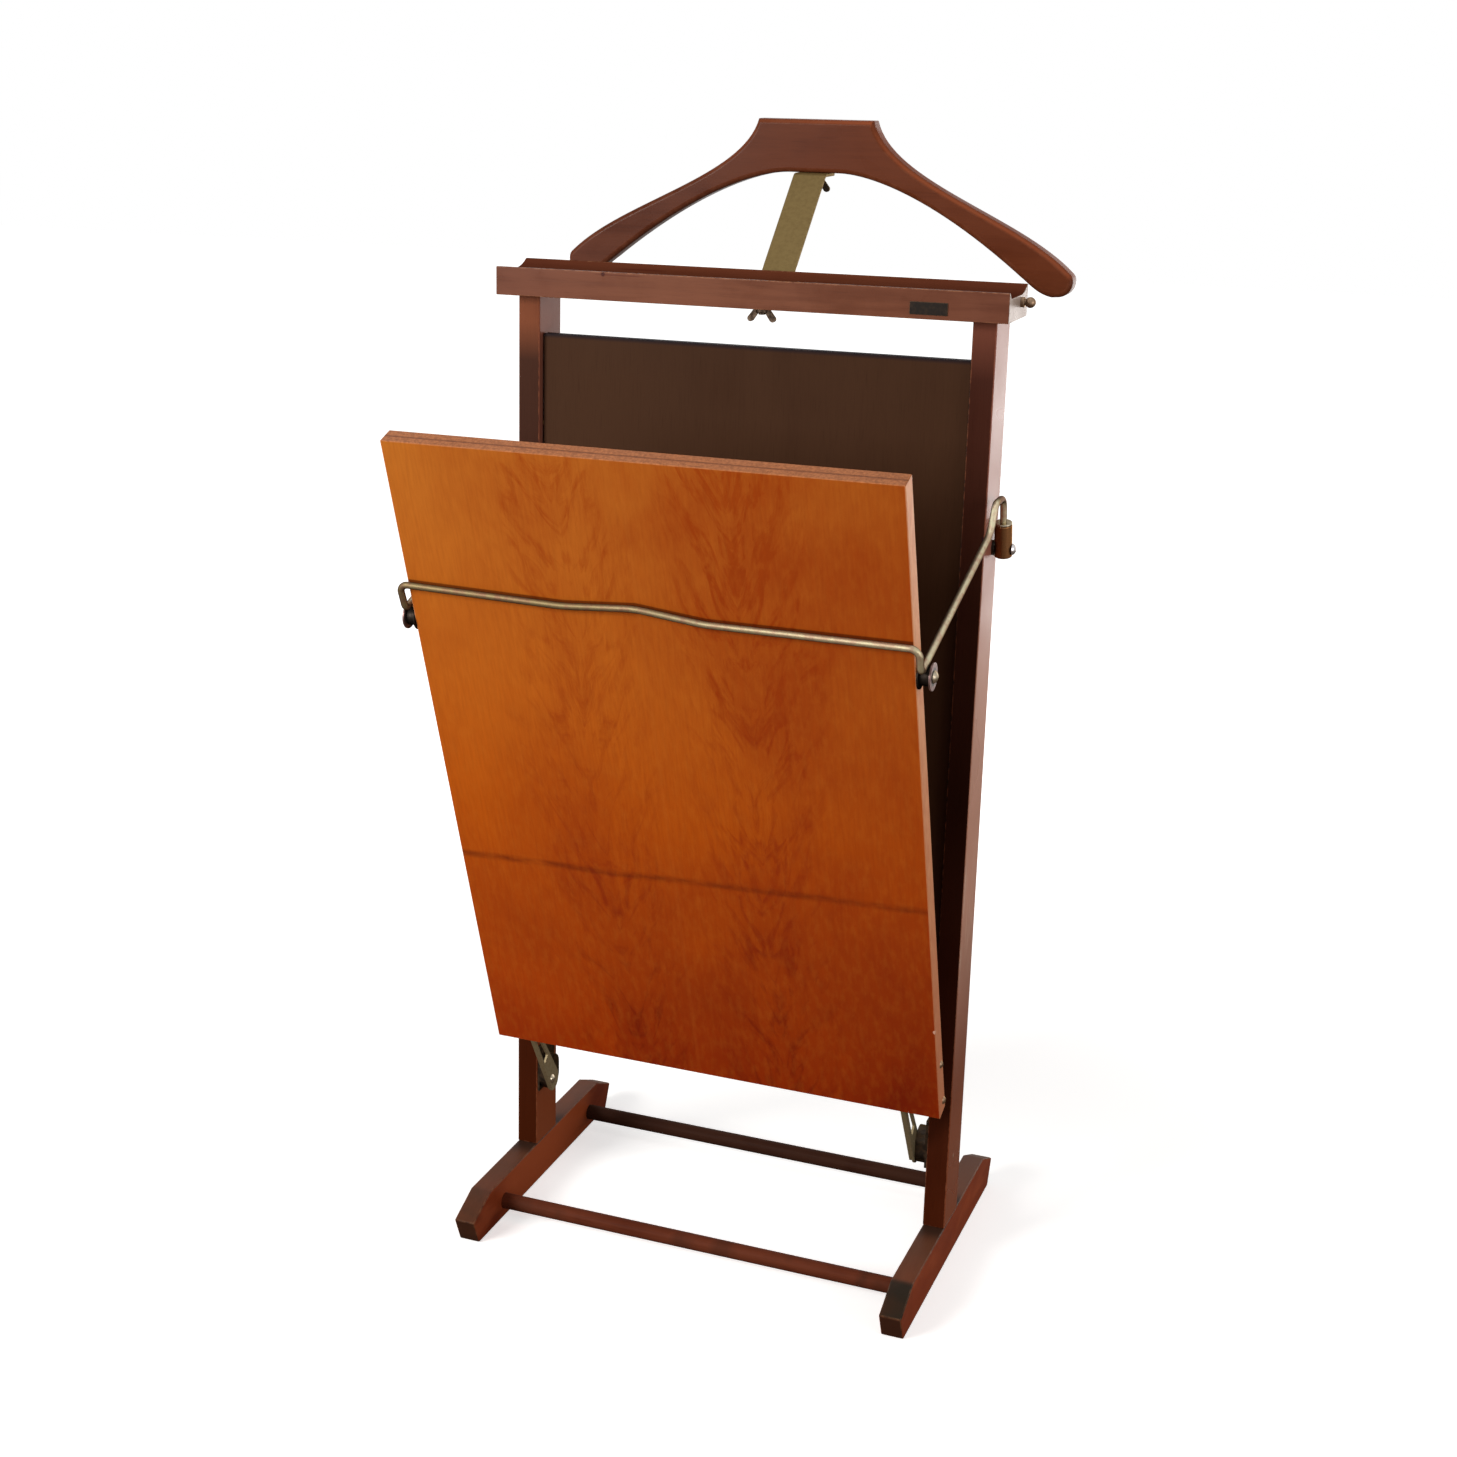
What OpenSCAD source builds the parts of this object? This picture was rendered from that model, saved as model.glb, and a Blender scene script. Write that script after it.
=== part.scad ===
// Clothes valet with a trouser press: two feet with posts, a tray rail, a fixed rear panel,
// a front board that folds against it, a wire bail that holds the board, and a coat hanger
// on a bent strap. X is the width, Y goes back and Z goes up. The floor is Z = 0.

/* [Stand] */
// Width over the two posts
stand_w = 430; // [380:1:480]
// Width of a post and of a foot, left to right
post_w = 20.4; // [16:0.2:26]
// Depth of a post, front to back
post_d = 46; // [36:1:56]
// Height of the post tops, where the rail rests
post_top = 867.8; // [800:0.2:930]

/* [Feet] */
// Height of a foot
foot_h = 40.7; // [32:0.1:50]
// How far a foot reaches in front of the posts' middle
foot_front = 164; // [130:1:200]
// How far a foot reaches behind the posts' middle
foot_back = 163.2; // [130:0.2:200]
// Height of the upright part of a foot's end
foot_end_h = 24.8; // [15:0.1:30]
// Length of the slope on top of a foot's end
foot_slope = 36.1; // [20:0.1:60]
// How far the end face leans in towards the floor
foot_undercut = 11.3; // [0:0.1:20]
// Diameter of the two round stretchers between the feet
stretcher_d = 15; // [10:0.1:18]
// Height of the stretchers' middle above the floor
stretcher_z = 16.6; // [12:0.1:24]
// Front stretcher's distance in front of the posts' middle
stretcher_front_y = 97.5; // [60:0.5:130]
// Rear stretcher's distance behind the posts' middle
stretcher_rear_y = 107.5; // [60:0.5:130]
// Depth of a stretcher's hole in a foot
stretcher_socket = 12; // [6:1:16]

/* [Tray rail] */
// How far the rail reaches past each post
rail_over = 13.35; // [5:0.05:45]
// How far the rail reaches in front of the posts' middle
rail_front = 41.8; // [30:0.1:50]
// Height of the rail at its front lip
rail_front_h = 24.6; // [18:0.1:32]
// Height of the rail at its back lip
rail_back_h = 26.6; // [20:0.1:36]
// Thickness of wood under the tray's floor
tray_floor_h = 20; // [12:0.1:24]
// Width of the flat top of the front lip
front_lip = 3; // [1:0.1:6]
// Width of the flat top of the back lip
back_lip = 2.5; // [1:0.1:6]
// Radius of the cove at the front lip
front_cove_r = 5.5; // [3:0.1:10]
// Radius of the cove at the back lip
back_cove_r = 40; // [20:1:60]
// Diameter of the ball of an end knob
knob_d = 9; // [6:0.1:14]
// Diameter of the collar of an end knob
knob_collar_d = 8.4; // [5:0.1:12]
// Length of the blank label plate
label_w = 32; // [20:0.5:60]
// Height of the blank label plate
label_h = 10.6; // [8:0.1:14]
// Distance from the rail's right end to the middle of the label plate
label_end = 66.4; // [30:0.1:120]

/* [Rear panel] */
// Thickness of the fixed panel between the posts
panel_t = 9; // [6:0.5:12]
// Distance of its front face in front of the posts' middle
panel_front = 16.5; // [10:0.5:20]
// Height of its bottom edge above the floor
panel_bottom = 186; // [150:1:240]
// Height of its top edge above the floor
panel_top = 833.1; // [700:0.1:850]
// Gap between the panel and each post
panel_gap = 1; // [0.3:0.1:3]

/* [Front board] */
// How far the folding board reaches past each post
board_over = 0.45; // [0:0.05:1]
// Length of the board from its bottom edge to its top edge
board_l = 643.9; // [560:0.1:660]
// Thickness of the board
board_t = 17.5; // [12:0.1:22]
// Lean of the open board from upright, in degrees
board_tilt = 19.87; // [17:0.01:21]
// Distance from the hinge pin forward to the board's front face
pin_to_face = 25.2; // [24:0.1:28]
// Distance from the hinge pin up to the board's bottom edge
pin_to_edge = 73.3; // [65:0.1:85]

/* [Hinges] */
// Height of the hinge pins above the floor
pin_z = 111; // [100:0.5:130]
// Distance of the pins in front of the posts' middle
pin_y = 17; // [12:0.5:22]
// Diameter of a hinge pin
pin_d = 6; // [4:0.5:8]
// Thickness of a hinge arm
arm_t = 2; // [1.5:0.1:3]
// Distance from the post's inner face to the arm
arm_gap = 11.3; // [8:0.1:14]
// Radius of the arm's round lower end
arm_end_r = 11; // [9:0.5:14]
// Width of the folded strip along the arm's front edge
arm_flange = 4.5; // [2:0.1:6]
// Length of the arm's tab in the board
arm_tab = 65; // [60:1:80]
// Thickness of a bracket's plate on the post
bracket_t = 2; // [1.5:0.1:3]

/* [Rollers] */
// Distance of the roller axis from the board's bottom edge
roller_s = 471; // [440:1:500]
// Diameter of a roller's hub, where the bail rests
hub_d = 15.5; // [12:0.1:18]
// Diameter of the flange beside the board
roller_flange_d = 22; // [17:0.5:26]
// Diameter of the outer washer
washer_d = 22.5; // [20:0.5:30]
// Diameter of a roller's screw
roller_screw_d = 5; // [4:0.5:6]

/* [Bail] */
// Diameter of the bail's wire
wire_d = 6; // [4:0.1:7]
// Room for a washer between a post and a spring sleeve
sleeve_room = 1.6; // [1.5:0.1:3]
// Height of the bail's pivot above the floor
pivot_z = 673; // [640:1:700]
// Distance of the pivot behind the posts' middle
pivot_y = 8; // [0:0.5:16]
// Forward lean of the spring sleeves from upright, in degrees
sleeve_lean = 12.6; // [5:0.1:20]
// Outer diameter of a spring sleeve
sleeve_d = 15; // [12:0.1:17]
// Length of a spring sleeve
sleeve_l = 31.5; // [28:0.5:40]
// Distance from a sleeve's bottom to its pivot
sleeve_foot = 7; // [7:0.5:12]
// Distance from the pivot to the bail's upper corner over the sleeve
arch_h = 47.2; // [46:0.1:56]
// Length of the bail's straight arm
arm_l = 203; // [190:1:215]
// How far the left arm leans in towards its front end
arm_lean_left = 2.6; // [0:0.1:3]
// How far the right arm leans in towards its front end
arm_lean_right = 3.6; // [0:0.1:4]
// Height of the bar's left end on the board's face, measured along the board
bar_s = 510.7; // [500:0.1:515]
// Drop from the bar's left end to the foot of its hump
bar_drop = 3.6; // [0:0.1:6]
// Height of the hump in the bar over its foot
bar_hump = 5; // [0:0.1:10]
// Depth of the dip beside the hump under the hump's foot
bar_dip = 2.6; // [0:0.1:8]

/* [Hanger] */
// Thickness of the hanger's plank
hanger_t = 22; // [16:0.5:26]
// Distance of the hanger's front face behind the posts' middle
hanger_y = 143; // [120:1:170]
// Height of the hanger's underside in the middle
hanger_z = 970.5; // [940:0.5:1000]
// Height of the hanger's centre block
hanger_block_h = 46.5; // [36:0.5:56]
// Half the width of the centre block's top
hanger_block_w = 54; // [40:1:60]
// Distance from the middle of the hanger to its ends
hanger_reach = 240; // [200:1:260]
// How far the ends hang below the underside in the middle
hanger_fall = 100; // [80:1:120]
// Width of the strap that carries the hanger
strap_w = 30; // [22:0.5:36]
// Thickness of the strap
strap_t = 3; // [2:0.5:4]
// Diameter of the two strap bolts
bolt_d = 6; // [5:0.5:8]
// Half the span of a wing nut
wing_span = 12.5; // [10:0.5:16]

/* [Hidden] */

$fn = 48;
// Cutters run past the faces they open by this much.
over = 1;
// Clearance on the radius of a pin or screw that turns in its hole.
run_gap = 0.08;
// Clearance on the radius of a dowel or screw that is fixed in its hole.
fit_gap = 0.02;
// Gap between curved faces that rest on each other.
rest_gap = 0.3;

post_in = stand_w / 2 - post_w;
post_out = stand_w / 2;
rail_w = stand_w + 2 * rail_over;
rail_bottom = post_top;
rail_back = post_d / 2;
knob_at = [0, rail_bottom + 13.7];
knob_pin_d = 4;
knob_pin_l = 10;
knob_collar_l = 3;
knob_neck_d = 5;
label_x = rail_w / 2 - label_end;
label_z = rail_bottom + 9;
label_t = 0.8;

frame_dowel_d = 8;
frame_dowel_l = 40;
frame_dowel_y = 13;
// A post's top dowels stay this far under the tray's floor.
top_dowel_up = 14;
panel_dowel_d = 6;
panel_dowel_l = 20;
panel_dowel_inset = 80;
panel_w = 2 * (post_in - panel_gap);

board_w = stand_w + 2 * board_over;
// Bottom front edge of the open board.
board_y = -pin_y - pin_to_face * cos(board_tilt) - pin_to_edge * sin(board_tilt);
board_z = pin_z - pin_to_face * sin(board_tilt) + pin_to_edge * cos(board_tilt);
board_top_y = board_y - board_l * sin(board_tilt);
// Point of the stand's side view that lies d behind the board's face and s above its bottom edge.
function on_board(s, d) = [
    board_y + d * cos(board_tilt) - s * sin(board_tilt),
    board_z + d * sin(board_tilt) + s * cos(board_tilt)
];

arm_x = post_in - arm_gap;
// The arm's wide top ends just under the board.
arm_top_gap = 0.4;
arm_top_front = 1.5;
arm_front_top = on_board(-arm_top_gap, arm_top_front);
arm_rear_top = on_board(-arm_top_gap, board_t);
arm_end_back = 4;
arm_end_below = 2;
arm_end = [arm_end_back - pin_y, pin_z - arm_end_below];
window_from = 6;
window_to = 48;
window_front = 6;
window_top_w = 5;
window_low_w = 9;
window_slant = 3;
flange_t = 1.6;
tab_drop = 1;
tab_depth = 9;
tab_front = board_t - tab_depth;
arm_screw_s = [10.7, 56.3];
arm_screw_depth = [13.3, 11.2];
arm_screw_d = 4;
arm_screw_head_d = 7.5;
arm_screw_head_h = 2;
arm_screw_past = 3;
arm_screw_tip = arm_x - arm_t - arm_screw_past;
slot_gap = 0.1;

pin_in = 7.5;
pin_head_d = 9.5;
pin_head_h = 2.6;
bracket_w = 35;
bracket_h = 47;
bracket_edge = 1;
bracket_below = 13;
boss_r = 13;
boss_at = [8 - pin_y, pin_z];
boss_rise = 9;
bolt_hole_at = [-5, pin_z - 4.5];
bracket_bolt_d = 5;
bracket_bolt_in = 6.3;
bracket_screw_d = 3.5;
bracket_screw_in = 11;
bracket_screw_front = 15;
bracket_screw_back = 6;
bracket_screw_low = pin_z - 7;
bracket_screw_high = bracket_screw_low + 33;
bracket_screws_at = [
    [bracket_screw_back, bracket_screw_low],
    [bracket_screw_back, bracket_screw_high],
    [-bracket_screw_front, bracket_screw_high]
];

roller_depth = board_t / 2;
roller_at = on_board(roller_s, roller_depth);
edge_gap = 0.2;
roller_x = board_w / 2 + edge_gap;
roller_flange_t = 1.5;
bail_x = post_out + sleeve_room + sleeve_d / 2;
wire_side_gap = 0.8;
hub_l = bail_x - arm_lean_left + wire_d / 2 + wire_side_gap - roller_x - roller_flange_t;
washer_t = 1.5;
washer_x = roller_x + roller_flange_t + hub_l + edge_gap;
roller_screw_in = 30;
roller_head_d = 10.4;
roller_head_h = 3.4;

// The bail in the side view, as steps from its pivot.
lean_dir = [-sin(sleeve_lean), cos(sleeve_lean)];
pivot = [pivot_y, pivot_z];
arch_front = pivot + [-38.5, 45.6];
arch_r = 12;
elbow = pivot + [-51, 23];
elbow_r = 32;
arm_foot_r = 5;
// The straight arm runs from the elbow so that it just clears the top of the roller's hub.
hub_clear = hub_d / 2 + wire_d / 2 + rest_gap;
elbow_to_hub = norm(elbow - roller_at);
arm_fall = atan2(elbow[1] - roller_at[1], elbow[0] - roller_at[0]) - asin(hub_clear / elbow_to_hub);
arm_foot = elbow - arm_l * [cos(arm_fall), sin(arm_fall)];
// The left arm's front end stands this much higher than the right one's.
left_foot_rise = 3.5;
bar_gap = 1.3;
bar_depth = -wire_d / 2 - bar_gap;
bar_corner = on_board(bar_s, bar_depth);
bar_corner_r = 8;
bar_end_drop = 6.6;
bar_flat_x = -75;
bar_hump_x = -12;
bar_dip_x = 47;
bar_wave_r = [120, 90, 90];

cap_t = 2;
sleeve_wall = 1.2;
sleeve_floor = 2;
sleeve_bore_d = sleeve_d - 2 * sleeve_wall;
end_nut_l = 4;
end_nut_low = 4;
spring_wire = 1.1;
spring_d = 10;
spring_turns = 5;
wire_sides = 12;
// A bend in the wire has a ring of points at least every so many degrees.
bend_step = 12;
cap_low = sleeve_l - sleeve_foot - cap_t;
spring_low = end_nut_low + end_nut_l;
pivot_screw_d = 4;
pivot_screw_in = post_w - 4.4;
pivot_head_d = 10;
pivot_head_h = 3.4;
pivot_washer_d = 13;
bail_side = bail_x - sleeve_d / 2;

hanger_back = hanger_y + hanger_t;
hanger_mid = hanger_y + hanger_t / 2;
// The hanger's underside stays flat this far past the strap's edges.
hanger_flat = 8;
strap_low_y = rail_back - 10;
strap_low_end = strap_low_y - 10;
strap_bend_low = rail_back + 5.6;
strap_bend_high = hanger_y - 9;
strap_high_end = hanger_back - 4;
bolt_grip = 16;
hanger_bolt_past = 5;
nut_l = 6;
nut_d = 11;
bolt_past_nut = 1.5;
bolt_below = strap_t + nut_l + bolt_past_nut;
wing_t = 2.6;
wing_drop = 14;
wing_root = 3.5;
wing_top = [5.2, -0.2];
wing_top_drop = 0.6;
wing_edge = 4.4;
wing_edge_low = 1.2;
wing_tip_r = 2.7;
wing_tip_in = 2.3;
wing_tip_up = 3;

// The frame's origin is on the floor, under the middle of the whole valet.
origin_shift = -(board_top_y + hanger_back) / 2;

module at_origin() translate([0, origin_shift, 0]) children();

module mirrored() mirror([1, 0, 0]) children();

module both_sides() {
    children();
    mirrored() children();
}

// Extrudes a side view, drawn as [y, z], from x0 to x1.
module side_view(x0, x1) translate([x0, 0, 0]) rotate([90, 0, 90]) linear_extrude(x1 - x0) children();

// Round bar along X at a point of the side view.
module cross_bar(x0, x1, d, at) translate([x0, at[0], at[1]]) rotate([0, 90, 0]) cylinder(h = x1 - x0, d = d);

// Low domed head that faces +X, with its flat side at x0.
module dome_head(x0, d, h, at) {
    ball_r = (d * d / 4 + h * h) / (2 * h);
    translate([x0, at[0], at[1]]) rotate([0, 90, 0]) intersection() {
        translate([0, 0, h - ball_r]) sphere(ball_r);
        cylinder(h = h + over, d = 2 * d);
    }
}

// Places what is drawn in the board's own axes: Y behind its face, Z up along it.
module on_open_board() translate([0, board_y, board_z]) rotate([board_tilt, 0, 0]) children();

// Places what is drawn with Z along the spring sleeve, from the bail's pivot.
module along_sleeve() translate([bail_x, pivot_y, pivot_z]) rotate([sleeve_lean, 0, 0]) children();

function arc_points(centre, r, from, to, steps) = [
    for (i = [0 : steps]) let (a = from + (to - from) * i / steps) centre + r * [cos(a), sin(a)]
];

function bezier(a, b, c, d, steps) = [
    for (i = [0 : steps]) let (t = i / steps, u = 1 - t)
        u * u * u * a + 3 * u * u * t * b + 3 * u * t * t * c + t * t * t * d
];

// Feet, posts and stretchers

module foot_side() polygon([
    [-foot_front + foot_undercut, 0],
    [foot_back - foot_undercut, 0],
    [foot_back, foot_end_h],
    [foot_back - foot_slope, foot_h],
    [-foot_front + foot_slope, foot_h],
    [-foot_front, foot_end_h]
]);

module frame_dowel_set(gap) {
    for (y = [-frame_dowel_y, frame_dowel_y], z = [foot_h, post_top - frame_dowel_l / 2 + top_dowel_up])
        translate([post_out - post_w / 2, y, z - frame_dowel_l / 2 - gap])
            cylinder(h = frame_dowel_l + 2 * gap, d = frame_dowel_d + 2 * gap);
}

module foot_right() color([0.36, 0.16, 0.11]) difference() {
    side_view(post_in, post_out) foot_side();
    frame_dowel_set(fit_gap);
    for (y = [-stretcher_front_y, stretcher_rear_y])
        cross_bar(post_in - over, post_in + stretcher_socket, stretcher_d + 2 * fit_gap, [y, stretcher_z]);
}

module foot_left() mirrored() foot_right();

module post_right() color([0.33, 0.17, 0.12]) difference() {
    translate([post_in, -post_d / 2, foot_h]) cube([post_w, post_d, post_top - foot_h]);
    frame_dowel_set(fit_gap);
    panel_dowel_set(fit_gap);
    cross_bar(post_in - over, post_out + over, bracket_bolt_d + 2 * fit_gap, bolt_hole_at);
    for (at = bracket_screws_at)
        cross_bar(post_in - over, post_in + bracket_screw_in + over, bracket_screw_d + 2 * fit_gap, at);
    cross_bar(post_out - pivot_screw_in, post_out + over, pivot_screw_d + 2 * fit_gap, pivot);
}

module post_left() mirrored() post_right();

module stretcher(y) color([0.16, 0.10, 0.08])
    cross_bar(-post_in - stretcher_socket, post_in + stretcher_socket, stretcher_d, [y, stretcher_z]);

module stretcher_front() stretcher(-stretcher_front_y);

module stretcher_rear() stretcher(stretcher_rear_y);

module frame_dowels() color([0.78, 0.62, 0.42]) both_sides() frame_dowel_set(0);

// Tray rail

// The tray's floor runs between a small cove at the front lip and a wide one at the back lip.
module rail_side() {
    floor_z = rail_bottom + tray_floor_h;
    front_rise = rail_front_h - tray_floor_h;
    back_rise = rail_back_h - tray_floor_h;
    front_turn = acos(1 - front_rise / front_cove_r);
    back_turn = acos(1 - back_rise / back_cove_r);
    front_foot = -rail_front + front_lip + front_cove_r * sin(front_turn);
    back_foot = rail_back - back_lip - back_cove_r * sin(back_turn);
    polygon(concat(
        [[-rail_front, rail_bottom], [-rail_front, rail_bottom + rail_front_h]],
        arc_points([front_foot, floor_z + front_cove_r], front_cove_r, -90 - front_turn, -90, 6),
        arc_points([back_foot, floor_z + back_cove_r], back_cove_r, -90, -90 + back_turn, 10),
        [[rail_back, rail_bottom + rail_back_h], [rail_back, rail_bottom]]
    ));
}

module tray_rail() color([0.47, 0.27, 0.19]) difference() {
    side_view(-rail_w / 2, rail_w / 2) rail_side();
    both_sides() frame_dowel_set(fit_gap);
    both_sides() cross_bar(rail_w / 2 - knob_pin_l, rail_w / 2 + over, knob_pin_d + 2 * fit_gap, knob_at);
    translate([0, strap_low_y, rail_bottom - over])
        cylinder(h = bolt_grip + over, d = bolt_d + 2 * fit_gap);
}

// Turned knob: pin, collar, neck and ball on one axis.
module rail_knob_right() color([0.25, 0.20, 0.16]) translate([rail_w / 2, knob_at[0], knob_at[1]])
    rotate([0, 90, 0]) rotate_extrude() intersection() {
        union() {
            translate([0, -knob_pin_l]) square([knob_pin_d / 2, knob_pin_l]);
            square([knob_collar_d / 2, knob_collar_l]);
            square([knob_neck_d / 2, knob_collar_l + knob_d / 2]);
            translate([0, knob_collar_l + knob_d / 2]) circle(d = knob_d);
        }
        translate([0, -knob_pin_l]) square(knob_pin_l + knob_collar_l + knob_d);
    }

module rail_knob_left() mirrored() rail_knob_right();

module label_plate() color([0.10, 0.09, 0.09])
    translate([label_x - label_w / 2, -rail_front - label_t, label_z - label_h / 2])
        cube([label_w, label_t, label_h]);

// Rear panel

module panel_dowel_set(gap) {
    middle = post_in - panel_gap / 2;
    reach = panel_dowel_l / 2 + gap;
    for (z = [panel_bottom + panel_dowel_inset, panel_top - panel_dowel_inset])
        cross_bar(middle - reach, middle + reach, panel_dowel_d + 2 * gap, [panel_t / 2 - panel_front, z]);
}

module rear_panel() color([0.26, 0.17, 0.13]) difference() {
    translate([-panel_w / 2, -panel_front, panel_bottom]) cube([panel_w, panel_t, panel_top - panel_bottom]);
    both_sides() panel_dowel_set(fit_gap);
}

module panel_dowels() color([0.78, 0.62, 0.42]) both_sides() panel_dowel_set(0);

// Hinges

module bracket_boss_side() translate(boss_at) {
    for (z = [0, boss_rise]) translate([0, z]) circle(boss_r);
    translate([-boss_r, 0]) square([2 * boss_r, boss_rise]);
}

// Pressed bracket: a plate on the post's inner face and a boss that carries the arm.
module hinge_bracket_right() color([0.16, 0.14, 0.12]) difference() {
    union() {
        side_view(post_in - bracket_t, post_in)
            translate([bracket_edge - post_d / 2, pin_z - bracket_below]) square([bracket_w, bracket_h]);
        side_view(arm_x, post_in - bracket_t) bracket_boss_side();
    }
    cross_bar(arm_x - over, arm_x + pin_in + fit_gap, pin_d + 2 * fit_gap, [-pin_y, pin_z]);
    cross_bar(post_in - bracket_bolt_in - over, post_in + over, bracket_bolt_d + 2 * fit_gap, bolt_hole_at);
    for (at = bracket_screws_at)
        cross_bar(arm_x - over, post_in + over, bracket_screw_d + 2 * fit_gap, at);
}

module hinge_bracket_left() mirrored() hinge_bracket_right();

// Bolt through each post into its bracket, with a flat head let into the outer face.
module bracket_bolts() color([0.72, 0.66, 0.60]) both_sides()
    cross_bar(post_in - bracket_bolt_in, post_out, bracket_bolt_d, bolt_hole_at);

module bracket_screws() color([0.45, 0.40, 0.32]) both_sides() for (at = bracket_screws_at)
    cross_bar(post_in - bracket_t, post_in + bracket_screw_in, bracket_screw_d, at);

module hinge_pins() color([0.80, 0.78, 0.72]) both_sides() {
    cross_bar(arm_x - arm_t, arm_x + pin_in, pin_d, [-pin_y, pin_z]);
    mirrored() dome_head(-arm_x + arm_t, pin_head_d, pin_head_h, [-pin_y, pin_z]);
}

// Point where a line from p touches the round end, on the side that turn is positive for.
function touch(p, turn_side) = let (v = arm_end - p, l = norm(v), a = turn_side * asin(arm_end_r / l),
    u = v / l, w = [u[0] * cos(a) - u[1] * sin(a), u[0] * sin(a) + u[1] * cos(a)])
    p + w * sqrt(l * l - arm_end_r * arm_end_r);

// The arm hangs from the board's bottom edge: a wide top, a window and a round lower end.
module arm_side() {
    polygon([arm_front_top, touch(arm_front_top, -1), touch(arm_rear_top, 1), arm_rear_top]);
    translate(arm_end) circle(arm_end_r);
}

module arm_window_side() {
    front = touch(arm_front_top, -1);
    along = (front - arm_front_top) / norm(front - arm_front_top);
    inward = [-along[1], along[0]];
    a = arm_front_top + window_from * along + window_front * inward;
    b = arm_front_top + window_to * along + window_front * inward;
    polygon([a, b, b + window_low_w * inward - window_slant * along, a + window_top_w * inward]);
}

// Folded strip along the arm's front edge.
module arm_flange_side() {
    front = touch(arm_front_top, -1);
    along = (front - arm_front_top) / norm(front - arm_front_top);
    inward = [-along[1], along[0]];
    polygon([arm_front_top, front, front + flange_t * inward, arm_front_top + flange_t * inward]);
}

// The tab stands in a slot in the board's back, and the slot is cut with a gap all round.
module arm_tab_solid(gap) on_open_board()
    translate([arm_x - arm_t - gap, tab_front - gap, -tab_drop])
        cube([arm_t + 2 * gap, tab_depth + gap + (gap > 0 ? over : 0), arm_tab + tab_drop + gap]);

module arm_screw_bars(gap) on_open_board() for (i = [0, 1])
    cross_bar(arm_screw_tip - gap, board_w / 2 + (gap > 0 ? over : 0), arm_screw_d + 2 * gap,
        [arm_screw_depth[i], arm_screw_s[i]]);

module hinge_arm_right() color([0.45, 0.39, 0.24]) difference() {
    union() {
        side_view(arm_x - arm_t, arm_x) difference() {
            arm_side();
            arm_window_side();
        }
        side_view(arm_x - arm_flange, arm_x) arm_flange_side();
        arm_tab_solid(0);
    }
    cross_bar(arm_x - arm_t - over, arm_x + over, pin_d + 2 * run_gap, [-pin_y, pin_z]);
    arm_screw_bars(fit_gap);
}

module hinge_arm_left() mirrored() hinge_arm_right();

// Front board

module front_board() color([0.62, 0.28, 0.07]) difference() {
    on_open_board() translate([-board_w / 2, 0, 0]) cube([board_w, board_t, board_l]);
    both_sides() {
        arm_tab_solid(slot_gap);
        arm_screw_bars(fit_gap);
        cross_bar(board_w / 2 - roller_screw_in, board_w / 2 + over, roller_screw_d + 2 * fit_gap, roller_at);
    }
}

module arm_screws() color([0.85, 0.82, 0.76]) both_sides() {
    arm_screw_bars(0);
    on_open_board() for (i = [0, 1])
        dome_head(board_w / 2, arm_screw_head_d, arm_screw_head_h, [arm_screw_depth[i], arm_screw_s[i]]);
}

// Rollers on the board's side edges

module roller_right() color([0.20, 0.17, 0.14]) difference() {
    union() {
        cross_bar(roller_x, roller_x + roller_flange_t, roller_flange_d, roller_at);
        cross_bar(roller_x, roller_x + roller_flange_t + hub_l, hub_d, roller_at);
    }
    cross_bar(roller_x - over, washer_x + over, roller_screw_d + 2 * run_gap, roller_at);
}

module roller_left() mirrored() roller_right();

module roller_washers() color([0.66, 0.58, 0.56]) both_sides() difference() {
    cross_bar(washer_x, washer_x + washer_t, washer_d, roller_at);
    cross_bar(washer_x - over, washer_x + washer_t + over, roller_screw_d + 2 * fit_gap, roller_at);
}

module roller_screws() color([0.85, 0.83, 0.78]) both_sides() {
    cross_bar(board_w / 2 - roller_screw_in, washer_x + washer_t, roller_screw_d, roller_at);
    dome_head(washer_x + washer_t, roller_head_d, roller_head_h, roller_at);
}

// Bail

module bail_sleeve_right() color([0.40, 0.30, 0.20]) difference() {
    along_sleeve() difference() {
        translate([0, 0, -sleeve_foot]) cylinder(h = sleeve_l - cap_t, d = sleeve_d);
        translate([0, 0, sleeve_floor - sleeve_foot]) cylinder(h = sleeve_l, d = sleeve_bore_d);
    }
    cross_bar(bail_side - over, bail_side + sleeve_d + over, pivot_screw_d + 2 * run_gap, pivot);
}

module bail_sleeve_left() mirrored() bail_sleeve_right();

// Bright ring that closes a sleeve's top over the spring.
module sleeve_cap() translate([0, 0, cap_low]) difference() {
    cylinder(h = cap_t, d = sleeve_d);
    translate([0, 0, -over]) cylinder(h = cap_t + 2 * over, d = wire_d + 2 * run_gap);
}

module sleeve_caps() color([0.74, 0.66, 0.50]) both_sides() along_sleeve() sleeve_cap();

// Helix about Z from height low to high, as pairs of a point and its direction.
function helix(r, low, high, turns, steps) = [
    for (i = [0 : turns * steps]) let (a = 360 * i / steps, climb = (high - low) / turns / 360)
        [[r * cos(a), r * sin(a), low + climb * a], unit([-sin(a), cos(a), climb * 180 / PI / r])]
];

// Spring between the cap and the nut on the wire's end.
module spring() {
    end_room = rest_gap + spring_wire / 2;
    swept_tube(helix(spring_d / 2 - spring_wire / 2, spring_low + end_room, cap_low - end_room,
        spring_turns, 14), [0, 0, 1], spring_wire, 8);
}

module bail_springs() color([0.60, 0.60, 0.60]) both_sides() along_sleeve() spring();

function unit(v) = v / norm(v);

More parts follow.
